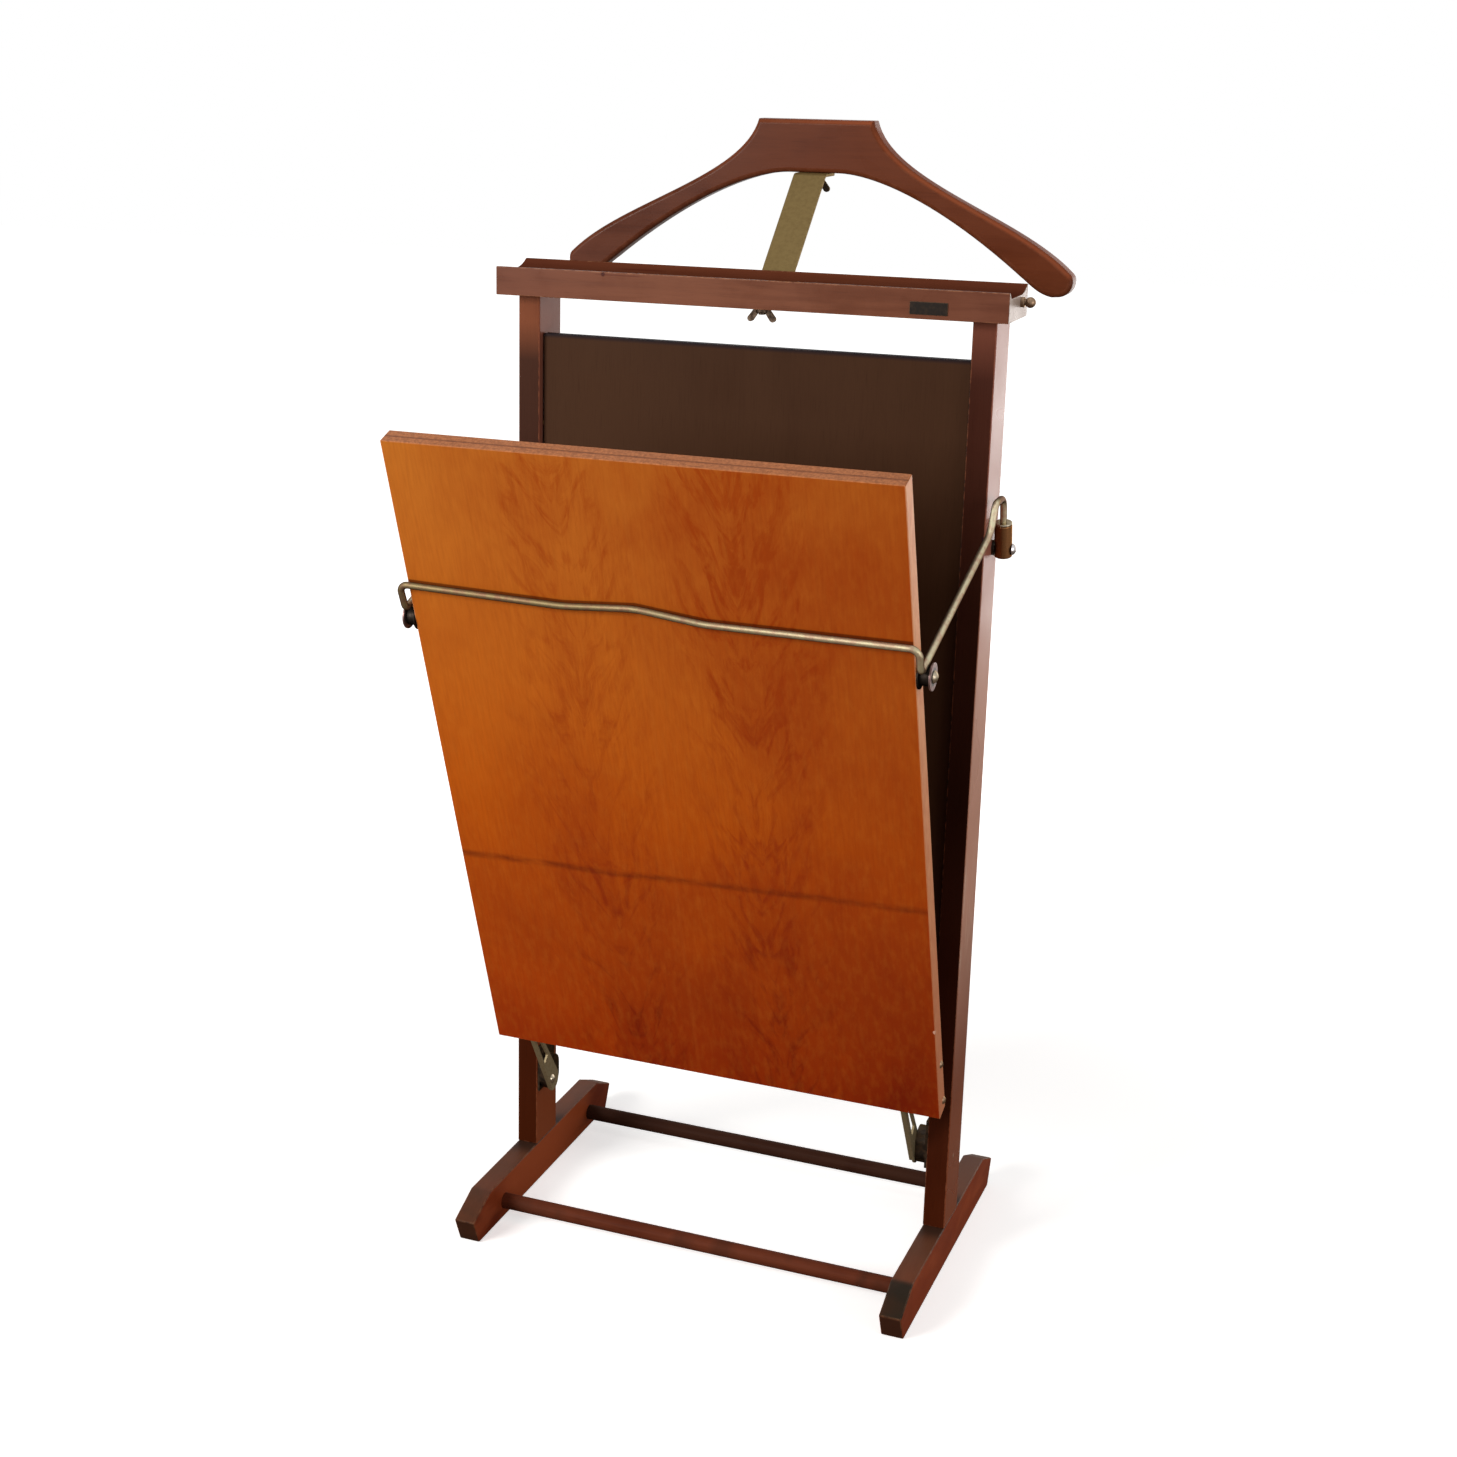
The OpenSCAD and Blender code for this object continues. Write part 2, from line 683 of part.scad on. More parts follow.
// Arc of centre-line radius r[i] that rounds corner p[i], as pairs of a point and its direction.
function corner_arc(p, r, i) = let (
    u = unit(p[i] - p[i - 1]),
    w = unit(p[i + 1] - p[i]),
    turn = acos(u * w),
    m = unit(w - (u * w) * u),
    c = p[i] - u * r[i] * tan(turn / 2) + r[i] * m,
    steps = max(2, ceil(turn / bend_step))
) [
    for (k = [0 : steps]) let (a = turn * k / steps)
        [c - r[i] * cos(a) * m + r[i] * sin(a) * u, cos(a) * u + sin(a) * m]
];

// Path through the points p with each inner corner rounded to the radius r[i].
function rounded_path(p, r) = let (last = len(p) - 1) concat(
    [[p[0], unit(p[1] - p[0])]],
    [for (i = [1 : last - 1]) each corner_arc(p, r, i)],
    [[p[last], unit(p[last] - p[last - 1])]]
);

function square_to(n, t) = unit(n - (n * t) * t);

// Sideways direction at each point of the path, carried along without twist from n0.
function carried(path, n0) = [
    for (i = 0, n = square_to(n0, path[0][1]); i < len(path);
        i = i + 1, n = i < len(path) ? square_to(n, path[i][1]) : n) n
];

// Round tube of diameter d along a path.
module swept_tube(path, n0, d, sides) {
    n = carried(path, n0);
    points = [
        for (i = [0 : len(path) - 1], k = [0 : sides - 1])
            let (a = 360 * k / sides)
                path[i][0] + d / 2 * (cos(a) * n[i] + sin(a) * cross(path[i][1], n[i]))
    ];
    first = [for (k = [sides - 1 : -1 : 0]) k];
    last = [for (k = [0 : sides - 1]) (len(path) - 1) * sides + k];
    walls = [
        for (i = [0 : len(path) - 2], k = [0 : sides - 1])
            let (a = i * sides + k, b = i * sides + (k + 1) % sides)
                each [[a, b, b + sides], [a, b + sides, a + sides]]
    ];
    polyhedron(points, concat([first], walls, [last]));
}

function at_side(x, q) = [x, q[0], q[1]];

function bar_point(x, rise) = at_side(x, on_board(bar_s + rise, bar_depth));

bail_leg_end = pivot + end_nut_low * lean_dir;
bail_arch_back = pivot + arch_h * lean_dir;

// Corners of the wire from the left sleeve over the arch, down the arm, along the bar and back.
bail_points = [
    at_side(-bail_x, bail_leg_end),
    at_side(-bail_x, bail_arch_back),
    at_side(-bail_x, arch_front),
    at_side(-bail_x, elbow),
    at_side(-bail_x + arm_lean_left, arm_foot + [0, left_foot_rise]),
    at_side(-bail_x + arm_lean_left, bar_corner),
    bar_point(bar_flat_x, -bar_drop),
    bar_point(bar_hump_x, bar_hump - bar_drop),
    bar_point(bar_dip_x, -bar_dip - bar_drop),
    at_side(bail_x - arm_lean_right, on_board(bar_s - bar_end_drop, bar_depth)),
    at_side(bail_x - arm_lean_right, arm_foot),
    at_side(bail_x, elbow),
    at_side(bail_x, arch_front),
    at_side(bail_x, bail_arch_back),
    at_side(bail_x, bail_leg_end)
];
bail_radii = concat(
    [0, arch_r, arch_r, elbow_r, arm_foot_r, bar_corner_r],
    bar_wave_r,
    [bar_corner_r, arm_foot_r, elbow_r, arch_r, arch_r, 0]
);

module bail_wire() color([0.66, 0.58, 0.42])
    swept_tube(rounded_path(bail_points, bail_radii), [1, 0, 0], wire_d, wire_sides);

// Nut on each end of the wire, below the spring.
module wire_end_nut() translate([0, 0, end_nut_low]) difference() {
    cylinder(h = end_nut_l, d = sleeve_bore_d - 2 * rest_gap);
    translate([0, 0, -over]) cylinder(h = end_nut_l + 2 * over, d = wire_d + 2 * fit_gap);
}

module wire_end_nuts() color([0.55, 0.50, 0.40]) both_sides() along_sleeve() wire_end_nut();

module pivot_screws() color([0.85, 0.83, 0.80]) both_sides() {
    cross_bar(post_out - pivot_screw_in, bail_side + sleeve_d + edge_gap, pivot_screw_d, pivot);
    dome_head(bail_side + sleeve_d + edge_gap, pivot_head_d, pivot_head_h, pivot);
}

module pivot_washers() color([0.22, 0.19, 0.16]) both_sides() difference() {
    cross_bar(post_out, bail_side - edge_gap, pivot_washer_d, pivot);
    cross_bar(post_out - over, bail_side + over, pivot_screw_d + 2 * fit_gap, pivot);
}

// Hanger and strap

function mirror_x(q) = [-q[0], q[1]];

// Point of the hanger's front view at shares of its half width and of its fall.
function on_hanger(out, down) = [hanger_reach * out, hanger_z - hanger_fall * down];

// Right half of the hanger's front view, as [x, z]: shoulder, round tip and underside.
hanger_top = [hanger_block_w, hanger_z + hanger_block_h];
hanger_flat_end = [strap_w / 2 + hanger_flat, hanger_z];
hanger_half = concat(
    [[0, hanger_z + hanger_block_h]],
    bezier(hanger_top, on_hanger(0.283, 0.06), on_hanger(0.776, 0.315), on_hanger(0.983, 0.78), 24),
    bezier(on_hanger(0.992, 0.8), on_hanger(1.012, 0.855), on_hanger(1, 0.975), on_hanger(0.954, 0.995), 8),
    bezier(on_hanger(0.925, 1), on_hanger(0.883, 0.985), on_hanger(0.854, 0.925), on_hanger(0.833, 0.885), 6),
    bezier(on_hanger(0.825, 0.87), on_hanger(0.45, 0.145), on_hanger(0.2, 0), hanger_flat_end, 20),
    [[0, hanger_z]]
);
hanger_outline = concat(hanger_half, [for (i = [len(hanger_half) - 2 : -1 : 1]) mirror_x(hanger_half[i])]);

module hanger() color([0.40, 0.19, 0.13]) difference() {
    translate([0, hanger_back, 0]) rotate([90, 0, 0]) linear_extrude(hanger_t) polygon(hanger_outline);
    translate([0, hanger_mid, hanger_z - over])
        cylinder(h = bolt_grip + hanger_bolt_past + 2 * over, d = bolt_d + 2 * fit_gap);
}

// Z-shaped strap: a tab under the rail, a slope and a tab under the hanger.
module strap_side() {
    low_top = rail_bottom;
    high_top = hanger_z;
    rise = unit([strap_bend_high - strap_bend_low, high_top - low_top]);
    drop = strap_t * [rise[1], -rise[0]];
    shift_low = strap_t * (1 - rise[0]) / rise[1];
    polygon([
        [strap_low_end, low_top],
        [strap_bend_low, low_top],
        [strap_bend_high, high_top],
        [strap_high_end, high_top],
        [strap_high_end, high_top - strap_t],
        [strap_bend_high + shift_low, high_top - strap_t],
        [strap_bend_low + shift_low, low_top - strap_t],
        [strap_low_end, low_top - strap_t]
    ]);
}

module hanger_strap() color([0.47, 0.39, 0.22]) difference() {
    side_view(-strap_w / 2, strap_w / 2) strap_side();
    for (at = [[strap_low_y, rail_bottom], [hanger_mid, hanger_z]])
        translate([0, at[0], at[1] - strap_t - over])
            cylinder(h = strap_t + 2 * over, d = bolt_d + 2 * run_gap);
}

module rail_bolt() color([0.45, 0.40, 0.32])
    translate([0, strap_low_y, rail_bottom - bolt_below])
        cylinder(h = bolt_below + bolt_grip - over, d = bolt_d);

module hanger_bolt() color([0.45, 0.40, 0.32])
    translate([0, hanger_mid, hanger_z - bolt_below])
        cylinder(h = bolt_below + bolt_grip + hanger_bolt_past, d = bolt_d);

// Front view of one wing, from the nut's side to its round tip.
module wing_side() {
    polygon([
        [wing_root, -wing_top_drop],
        wing_top,
        [wing_span, wing_edge - wing_drop],
        [wing_span - wing_edge, wing_edge_low - wing_drop],
        [wing_root, -nut_l]
    ]);
    translate([wing_span - wing_tip_in, wing_tip_up - wing_drop]) circle(wing_tip_r);
}

// Nut with two wings that spread downwards, its top face at Z = 0.
module wing_nut() difference() {
    union() {
        translate([0, 0, -nut_l]) cylinder(h = nut_l, d = nut_d);
        both_sides() rotate([90, 0, 0]) translate([0, 0, -wing_t / 2]) linear_extrude(wing_t) wing_side();
    }
    translate([0, 0, -nut_l - over]) cylinder(h = nut_l + 2 * over, d = bolt_d + 2 * run_gap);
    translate([0, 0, -wing_drop - over]) cylinder(h = wing_drop + over - nut_l, d = bolt_d + 2 * over);
}

module rail_wing_nut() color([0.38, 0.33, 0.24])
    translate([0, strap_low_y, rail_bottom - strap_t]) wing_nut();

// The hanger's nut is loose, so that the hanger can swivel.
module hanger_wing_nut() color([0.38, 0.33, 0.24])
    translate([0, hanger_mid, hanger_z - strap_t - rest_gap]) wing_nut();

at_origin() foot_left();
at_origin() foot_right();
at_origin() post_left();
at_origin() post_right();
at_origin() stretcher_front();
at_origin() stretcher_rear();
at_origin() frame_dowels();
at_origin() tray_rail();
at_origin() rail_knob_left();
at_origin() rail_knob_right();
at_origin() label_plate();
at_origin() rear_panel();
at_origin() panel_dowels();
at_origin() hinge_bracket_left();
at_origin() hinge_bracket_right();
at_origin() bracket_bolts();
at_origin() bracket_screws();
at_origin() hinge_pins();
at_origin() hinge_arm_left();
at_origin() hinge_arm_right();
at_origin() front_board();
at_origin() arm_screws();
at_origin() roller_left();
at_origin() roller_right();
at_origin() roller_washers();
at_origin() roller_screws();
at_origin() bail_sleeve_left();
at_origin() bail_sleeve_right();
at_origin() sleeve_caps();
at_origin() bail_springs();
at_origin() bail_wire();
at_origin() wire_end_nuts();
at_origin() pivot_screws();
at_origin() pivot_washers();
at_origin() hanger_strap();
at_origin() rail_bolt();
at_origin() rail_wing_nut();
at_origin() hanger();
at_origin() hanger_bolt();
at_origin() hanger_wing_nut();
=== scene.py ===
"""Looks of the clothes valet: wood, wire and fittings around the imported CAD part, in metres."""

import math

import bmesh
import bpy
from mathutils import Matrix, Vector


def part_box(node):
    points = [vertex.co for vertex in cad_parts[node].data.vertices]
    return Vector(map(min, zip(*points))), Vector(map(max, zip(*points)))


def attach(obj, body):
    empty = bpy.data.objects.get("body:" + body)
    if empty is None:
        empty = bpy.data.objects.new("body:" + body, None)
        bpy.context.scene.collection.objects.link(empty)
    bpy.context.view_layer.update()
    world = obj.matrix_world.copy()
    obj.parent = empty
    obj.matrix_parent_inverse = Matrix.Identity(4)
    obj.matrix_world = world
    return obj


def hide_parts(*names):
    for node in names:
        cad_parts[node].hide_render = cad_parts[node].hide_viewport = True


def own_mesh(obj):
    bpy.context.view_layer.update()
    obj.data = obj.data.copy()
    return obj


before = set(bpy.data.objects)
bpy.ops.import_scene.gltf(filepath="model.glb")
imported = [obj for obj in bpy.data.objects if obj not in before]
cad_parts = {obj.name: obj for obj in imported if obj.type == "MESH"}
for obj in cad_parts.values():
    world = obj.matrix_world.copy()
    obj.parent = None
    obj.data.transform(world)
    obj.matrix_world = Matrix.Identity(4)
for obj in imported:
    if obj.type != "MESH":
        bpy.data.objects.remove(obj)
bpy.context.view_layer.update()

MM = 0.001

# Places taken from the CAD nodes.
post_low, post_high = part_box("post_right")
foot_low, foot_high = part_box("foot_right")
rail_low, rail_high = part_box("tray_rail")
panel_low, panel_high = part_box("rear_panel")
board_low, board_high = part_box("front_board")
hanger_low, hanger_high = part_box("hanger")
strap_low, strap_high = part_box("hanger_strap")
wire_low, wire_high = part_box("bail_wire")
roller_low, roller_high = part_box("roller_right")
washer_low, washer_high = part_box("roller_washers")
screw_low, screw_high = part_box("roller_screws")
pivot_low, pivot_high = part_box("pivot_screws")
knob_low, knob_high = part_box("rail_knob_right")
label_low, label_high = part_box("label_plate")
nut_low, nut_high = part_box("hanger_wing_nut")
bolt_low, bolt_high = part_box("bracket_bolts")


def middle(low, high):
    """Middle of a box in depth and height, on the stand's middle plane."""
    return Vector((0, (low.y + high.y) / 2, (low.z + high.z) / 2))


POST_Y = middle(post_low, post_high).y

# Sizes repeated from the part's source.
FOOT_END_H = 24.8 * MM
FOOT_SLOPE = 36.1 * MM
FOOT_UNDERCUT = 11.3 * MM
FRONT_LIP = 3 * MM
BACK_LIP = 2.5 * MM
RAIL_FRONT_H = 24.6 * MM
TRAY_FLOOR_H = 20 * MM
FRONT_COVE_R = 5.5 * MM
BACK_COVE_R = 40 * MM
BOARD_T = 17.5 * MM
BOARD_L = 643.9 * MM
BOARD_TILT = math.radians(19.87)
WIRE_D = 6 * MM
STRAP_T = 3 * MM

BOARD_ORIGIN = Vector((0, board_high.y - BOARD_T * math.cos(BOARD_TILT), board_low.z))
BOARD_MATRIX = Matrix.Translation(BOARD_ORIGIN) @ Matrix.Rotation(BOARD_TILT, 4, "X")


def on_board(x, depth, s):
    """Point that lies depth behind the board's face and s above its bottom edge."""
    return BOARD_MATRIX @ Vector((x, depth, s))


# Camera

CAMERA_AT = (0.646647, -1.819621, 1.090528)
CAMERA_AZIMUTH = 22.775
CAMERA_ELEVATION = 16.267
CAMERA_ROLL = 0.639
CAMERA_LENS = 56.573
CAMERA_SENSOR = 36
CAMERA_SHIFT = (0.0882, -0.0196)


def make_camera():
    data = bpy.data.cameras.new("camera")
    data.sensor_width = CAMERA_SENSOR
    data.lens = CAMERA_LENS
    data.shift_x, data.shift_y = CAMERA_SHIFT
    camera = bpy.data.objects.new("camera", data)
    turn = Matrix.Rotation(math.radians(CAMERA_AZIMUTH), 4, "Z")
    tip = Matrix.Rotation(math.radians(90 - CAMERA_ELEVATION), 4, "X")
    roll = Matrix.Rotation(math.radians(CAMERA_ROLL), 4, "Z")
    camera.matrix_world = Matrix.Translation(CAMERA_AT) @ turn @ tip @ roll
    bpy.context.scene.collection.objects.link(camera)
    bpy.context.scene.camera = camera


# Mesh helpers

SHARP_ANGLE = math.radians(35)


def add_object(name, bm, matrix=None):
    mesh = bpy.data.meshes.new(name)
    bmesh.ops.recalc_face_normals(bm, faces=bm.faces)
    bm.to_mesh(mesh)
    bm.free()
    for polygon in mesh.polygons:
        polygon.use_smooth = True
    mesh.set_sharp_from_angle(angle=SHARP_ANGLE)
    piece = bpy.data.objects.new(name, mesh)
    bpy.context.scene.collection.objects.link(piece)
    if matrix:
        piece.matrix_world = matrix
    normals = piece.modifiers.new("normals", "WEIGHTED_NORMAL")
    normals.keep_sharp = True
    return piece


def join_rings(bm, first, second):
    """Faces between two rings of points; a ring of one point closes the form."""
    made = []
    count = max(len(first), len(second))
    for k in range(count):
        j = (k + 1) % count
        if len(first) == 1:
            corners = (first[0], second[j], second[k])
        elif len(second) == 1:
            corners = (first[k], first[j], second[0])
        else:
            corners = (first[k], first[j], second[j], second[k])
        made.append(bm.faces.new(corners))
    return made


def prism_into(bm, outline, place, low, high):
    """Closed prism over an outline of (u, v) pairs, where place(u, v, w) gives a point."""
    first = [bm.verts.new(place(u, v, low)) for u, v in outline]
    second = [bm.verts.new(place(u, v, high)) for u, v in outline]
    bm.faces.new(first)
    bm.faces.new(second)
    join_rings(bm, first, second)


def round_edges(bm, radius, segments=3, least_angle=25):
    """Rounds the sharp edges and marks the new faces in the attribute edge."""
    layer = bm.faces.layers.float.new("edge")
    bmesh.ops.recalc_face_normals(bm, faces=bm.faces)
    limit = math.radians(least_angle)
    sharp = [e for e in bm.edges if len(e.link_faces) == 2 and e.calc_face_angle() > limit]
    made = bmesh.ops.bevel(
        bm, geom=sharp, offset=radius, segments=segments, profile=0.5, affect="EDGES", clamp_overlap=True
    )
    for face in made["faces"]:
        face[layer] = 1


def box_outline(low_u, low_v, high_u, high_v):
    return [(low_u, low_v), (high_u, low_v), (high_u, high_v), (low_u, high_v)]


def along_x(u, v, w):
    return Vector((w, u, v))


def along_y(u, v, w):
    return Vector((u, w, v))


def along_z(u, v, w):
    return Vector((u, v, w))


def arc(centre_u, centre_v, radius, start, stop, steps):
    """Points of an arc from start to stop, in degrees."""
    points = []
    for i in range(steps + 1):
        a = math.radians(start + (stop - start) * i / steps)
        points.append((centre_u + radius * math.cos(a), centre_v + radius * math.sin(a)))
    return points


def bezier(a, b, c, d, steps):
    points = []
    for i in range(steps + 1):
        t = i / steps
        r = 1 - t
        weights = (r**3, 3 * r * r * t, 3 * r * t * t, t**3)
        points.append(tuple(sum(w * p[k] for w, p in zip(weights, (a, b, c, d))) for k in (0, 1)))
    return points


def inset(outline, distance):
    """The outline, listed anticlockwise, moved inwards by a distance."""
    moved = []
    count = len(outline)
    for i in range(count):
        before = Vector(outline[i - 1])
        here = Vector(outline[i])
        after = Vector(outline[(i + 1) % count])
        d1 = (here - before).normalized()
        d2 = (after - here).normalized()
        n1 = Vector((-d1.y, d1.x))
        n2 = Vector((-d2.y, d2.x))
        shift = (n1 + n2) / max(1 + n1.dot(n2), 0.3)
        moved.append(tuple(here + distance * shift))
    return moved


def rounded_rims(radius, low, high, steps):
    """How far in and how high each ring lies on a form whose two rims are rounded."""
    rings = []
    for i in range(steps + 1):
        a = math.radians(90 * i / steps)
        rings.append((radius * (1 - math.sin(a)), low + radius * (1 - math.cos(a))))
    return rings + [(inwards, low + high - height) for inwards, height in reversed(rings)]


def rounded_plank(bm, outline, place, low, high, radius):
    """Prism whose two rims are rounded, built ring by ring; the rims are marked as edge."""
    layer = bm.faces.layers.float.new("edge")
    steps = 4
    loops = []
    for inwards, w in rounded_rims(radius, low, high, steps):
        loops.append([bm.verts.new(place(u, v, w)) for u, v in inset(outline, inwards)])
    bm.faces.new(loops[0])
    bm.faces.new(loops[-1])
    for k in range(len(loops) - 1):
        for face in join_rings(bm, loops[k], loops[k + 1]):
            face[layer] = 0 if k == steps else 1


def lathe_into(bm, profile, matrix, sides=40):
    """Turned form from (radius, height) pairs about the local Z axis, ends closed at radius 0."""
    rings = []
    for radius, height in profile:
        if radius <= 0:
            rings.append([bm.verts.new(matrix @ Vector((0, 0, height)))])
            continue
        ring = []
        for k in range(sides):
            a = 2 * math.pi * k / sides
            ring.append(bm.verts.new(matrix @ Vector((radius * math.cos(a), radius * math.sin(a), height))))
        rings.append(ring)
    for first, second in zip(rings, rings[1:]):
        join_rings(bm, first, second)


def rounded_disc(radius, low, high, edge):
    """Profile of a disc with rounded rims, for lathe_into."""
    side = [(radius - inwards, height) for inwards, height in rounded_rims(edge, low, high, 3)]
    return [(0, low), *side, (0, high)]


def dome(radius, height, low):
    """Profile of a low domed head, with a short upright rim, that stands on height low."""
    ball = (radius * radius + height * height) / (2 * height)
    top = math.asin(min(1, radius / ball))
    rim = 0.12
    steps = 6
    profile = [(0, low), (radius * 0.96, low), (radius, low + rim * height)]
    for i in range(1, steps + 1):
        a = top * (1 - i / steps)
        rise = height - ball * (1 - math.cos(a))
        profile.append((ball * math.sin(a), low + rim * height + (1 - rim) * rise))
    return profile


def side_axis(side, place, x=0):
    """Matrix whose local Z runs outwards along X on that side of the stand, through a place."""
    turn = Matrix.Rotation(math.radians(90 * side), 4, "Y")
    return Matrix.Translation((side * x, place.y, place.z)) @ turn


def side_name(stem, side):
    return stem + ("_left" if side < 0 else "_right")


def belongs(piece, body, slot_name, material, *nodes):
    piece.data.materials.append(material)
    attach(piece, body)
    if nodes:
        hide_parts(*nodes)
    return piece


# Material helpers


def colour(red, green, blue):
    """Linear colour from 8-bit screen values."""
    channels = []
    for value in (red, green, blue):
        c = value / 255
        channels.append(c / 12.92 if c <= 0.04045 else ((c + 0.055) / 1.055) ** 2.4)
    return (*channels, 1)


class Tree:
    """Short calls for the nodes of a tree."""

    def __init__(self, tree):
        self.tree = tree

    def node(self, kind, inputs=()):
        """New node; each input, by name or number, gets a value or a link from a socket."""
        node = self.tree.nodes.new("ShaderNode" + kind)
        for name, value in dict(inputs).items():
            self.put(node.inputs[name], value)
        return node

    def put(self, socket, value):
        if isinstance(value, bpy.types.NodeSocket):
            self.tree.links.new(value, socket)
        else:
            socket.default_value = value

    def math(self, operation, a, b=0.0):
        node = self.node("Math", {0: a, 1: b})
        node.operation = operation
        return node.outputs["Value"]

    def ray_kind(self, *names):
        """1 for rays of any of the kinds named."""
        path = self.node("LightPath")
        factor = path.outputs[names[0]]
        for name in names[1:]:
            factor = self.math("MAXIMUM", factor, path.outputs[name])
        return factor


class Graph(Tree):
    """A material's node tree, with its shader."""

    def __init__(self, name):
        self.material = bpy.data.materials.new(name)
        self.material.use_nodes = True
        super().__init__(self.material.node_tree)
        self.shader = self.tree.nodes["Principled BSDF"]
        self.coordinates = self.node("TexCoord").outputs["Object"]

    def give(self, name, value):
        """Sets or links one input of the material's shader."""
        self.put(self.shader.inputs[name], value)

    def noise_at(self, vector, detail, rough, distortion=0.0):
        kind = {"Detail": detail, "Roughness": rough, "Distortion": distortion}
        return self.node("TexNoise", {"Vector": vector, "Scale": 1, **kind}).outputs["Fac"]

    def noise(self, scale, detail, rough, distortion=0.0, offset=(0, 0, 0)):
        """Noise about the object's own origin; scale is one number, or one for each axis."""
        scales = scale if isinstance(scale, tuple) else (scale,) * 3
        inputs = {"Vector": self.coordinates, "Scale": scales, "Location": offset}
        return self.noise_at(self.node("Mapping", inputs).outputs["Vector"], detail, rough, distortion)

    def axis(self, index):
        return self.node("SeparateXYZ", {"Vector": self.coordinates}).outputs[index]

    def facing(self, index, low=0.3, high=0.6, both_ways=False):
        """1 on faces that point along the object axis of that index."""
        normal = self.node("TexCoord").outputs["Normal"]
        part = self.node("SeparateXYZ", {"Vector": normal}).outputs[index]
        return self.remap(self.absolute(part) if both_ways else part, low, high)

    def point(self, x, y, z):
        return self.node("CombineXYZ", {"X": x, "Y": y, "Z": z}).outputs["Vector"]

    def distance(self, centre):
        node = self.node("VectorMath", {0: self.coordinates, 1: centre})
        node.operation = "DISTANCE"
        return node.outputs["Value"]

    def spot(self, centre, radius, soft):
        """1 inside a ball about an object point, falling to 0 over the distance soft."""
        return self.remap(self.distance(centre), radius, radius + soft, 1, 0, smooth=True)

    def blend(self, base, value, *factors):
        """The base with a colour laid over it, in the share given by the factors together."""
        share = factors[0]
        for factor in factors[1:]:
            share = self.times(share, factor)
        return self.mix(share, base, value)

    def times(self, a, b):
        return self.math("MULTIPLY", a, b)

    def plus(self, a, b):
        return self.math("ADD", a, b)

    def minus(self, a, b):
        return self.math("SUBTRACT", a, b)

    def absolute(self, a):
        return self.math("ABSOLUTE", a)

    def remap(self, value, from_low, from_high, to_low=0.0, to_high=1.0, smooth=False):
        ends = {"From Min": from_low, "From Max": from_high, "To Min": to_low, "To Max": to_high}
        node = self.node("MapRange", {"Value": value, **ends})
        if smooth:
            node.interpolation_type = "SMOOTHSTEP"
        return node.outputs["Result"]

    def mix_values(self, share, a, b):
        """Number between a and b."""
        return self.plus(a, self.times(share, self.minus(b, a)))

    def ramp(self, factor, stops):
        node = self.node("ValToRGB", {"Fac": factor})
        elements = node.color_ramp.elements
        while len(elements) < len(stops):
            elements.new(0.5)
        for element, (position, value) in zip(elements, stops):
            element.position = position
            element.color = value
        return node.outputs["Color"]

    def mix(self, factor, a, b, blend="MIX"):
        """Colour between a and b; inputs 6 and 7 and output 2 are the node's colour sockets."""
        node = self.node("Mix")
        node.data_type = "RGBA"
        node.blend_type = blend
        self.put(node.inputs[0], factor)
        self.put(node.inputs[6], a)
        self.put(node.inputs[7], b)
        return node.outputs[2]

    def attribute(self, name):
        node = self.node("Attribute")
        node.attribute_name = name
        return node.outputs["Fac"]

    def band(self, value, low, high, soft):
        """1 between low and high, falling to 0 over the distance soft outside."""
        rise = self.remap(value, low - soft, low, smooth=True)
        fall = self.remap(value, high, high + soft, 1, 0, smooth=True)
        return self.times(rise, fall)

    def bump(self, height, strength, distance):
        node = self.node("Bump", {"Strength": strength, "Distance": distance, "Height": height})
        self.give("Normal", node.outputs["Normal"])


def by_grain(grain, across, along):
    """Noise scale with the fine direction across the grain; grain is 0, 1 or 2 for X, Y or Z."""
    scale = [across] * 3
    scale[grain] = along
    return tuple(scale)


class Wood(Graph):
    """Stained, lacquered wood: a base colour with fibres and clouds, and colours laid over it."""

    def stain(self, grain, tone, figure=22, lengthwise=2.2, mottle=9, depth=0.6):
        """Starts the base with one tone, with fibres, wavy figure and soft mottling."""
        self.fibre = self.noise(by_grain(grain, 420, 9), 5, 0.6)
        bands = self.noise(by_grain(grain, figure, lengthwise), 4, 0.5, 1.2)
        self.clouds = self.noise(mottle, 3, 0.5, 0.4, offset=(3, 1, 7))
        mixed = self.plus(self.times(bands, 0.5), self.times(self.clouds, 0.35))
        mixed = self.plus(mixed, self.times(self.fibre, 0.15))
        shades = [(0.36, (0.52, 0.42, 0.38, 1)), (0.5, (0.86, 0.83, 0.81, 1)), (0.64, (1, 1, 1, 1))]
        self.base = self.mix(depth, tone, self.mix(1, tone, self.ramp(mixed, shades), "MULTIPLY"))
        pores = self.remap(self.noise(by_grain(grain, 1500, 40), 2, 0.5), 0.56, 0.7)
        self.lay(self.mix(1, self.base, (0.4, 0.34, 0.32, 1), "MULTIPLY"), pores, 0.25)

    def lay(self, value, *factors):
        """Lays a colour over the base, in the share given by the factors together."""
        self.base = self.blend(self.base, value, *factors)

    def finish(self, edge_colour, edge_amount, rough=0.34, gloss=0.08, bump=0.12):
        """Worn edges, lacquer and relief; gives the finished material."""
        patchy = self.remap(self.noise(160, 3, 0.6), 0.4, 0.62)
        self.lay(edge_colour, self.times(self.attribute("edge"), patchy), edge_amount)
        self.give("Base Color", self.base)
        self.give("Roughness", self.remap(self.clouds, 0.3, 0.7, rough - 0.07, rough + 0.1))
        # This value stays under a linked gloss, for programs that read no links.
        self.give("Specular IOR Level", 0.06)
        self.give("Specular IOR Level", gloss)
        self.bump(self.fibre, bump, 0.0004)
        return self.material


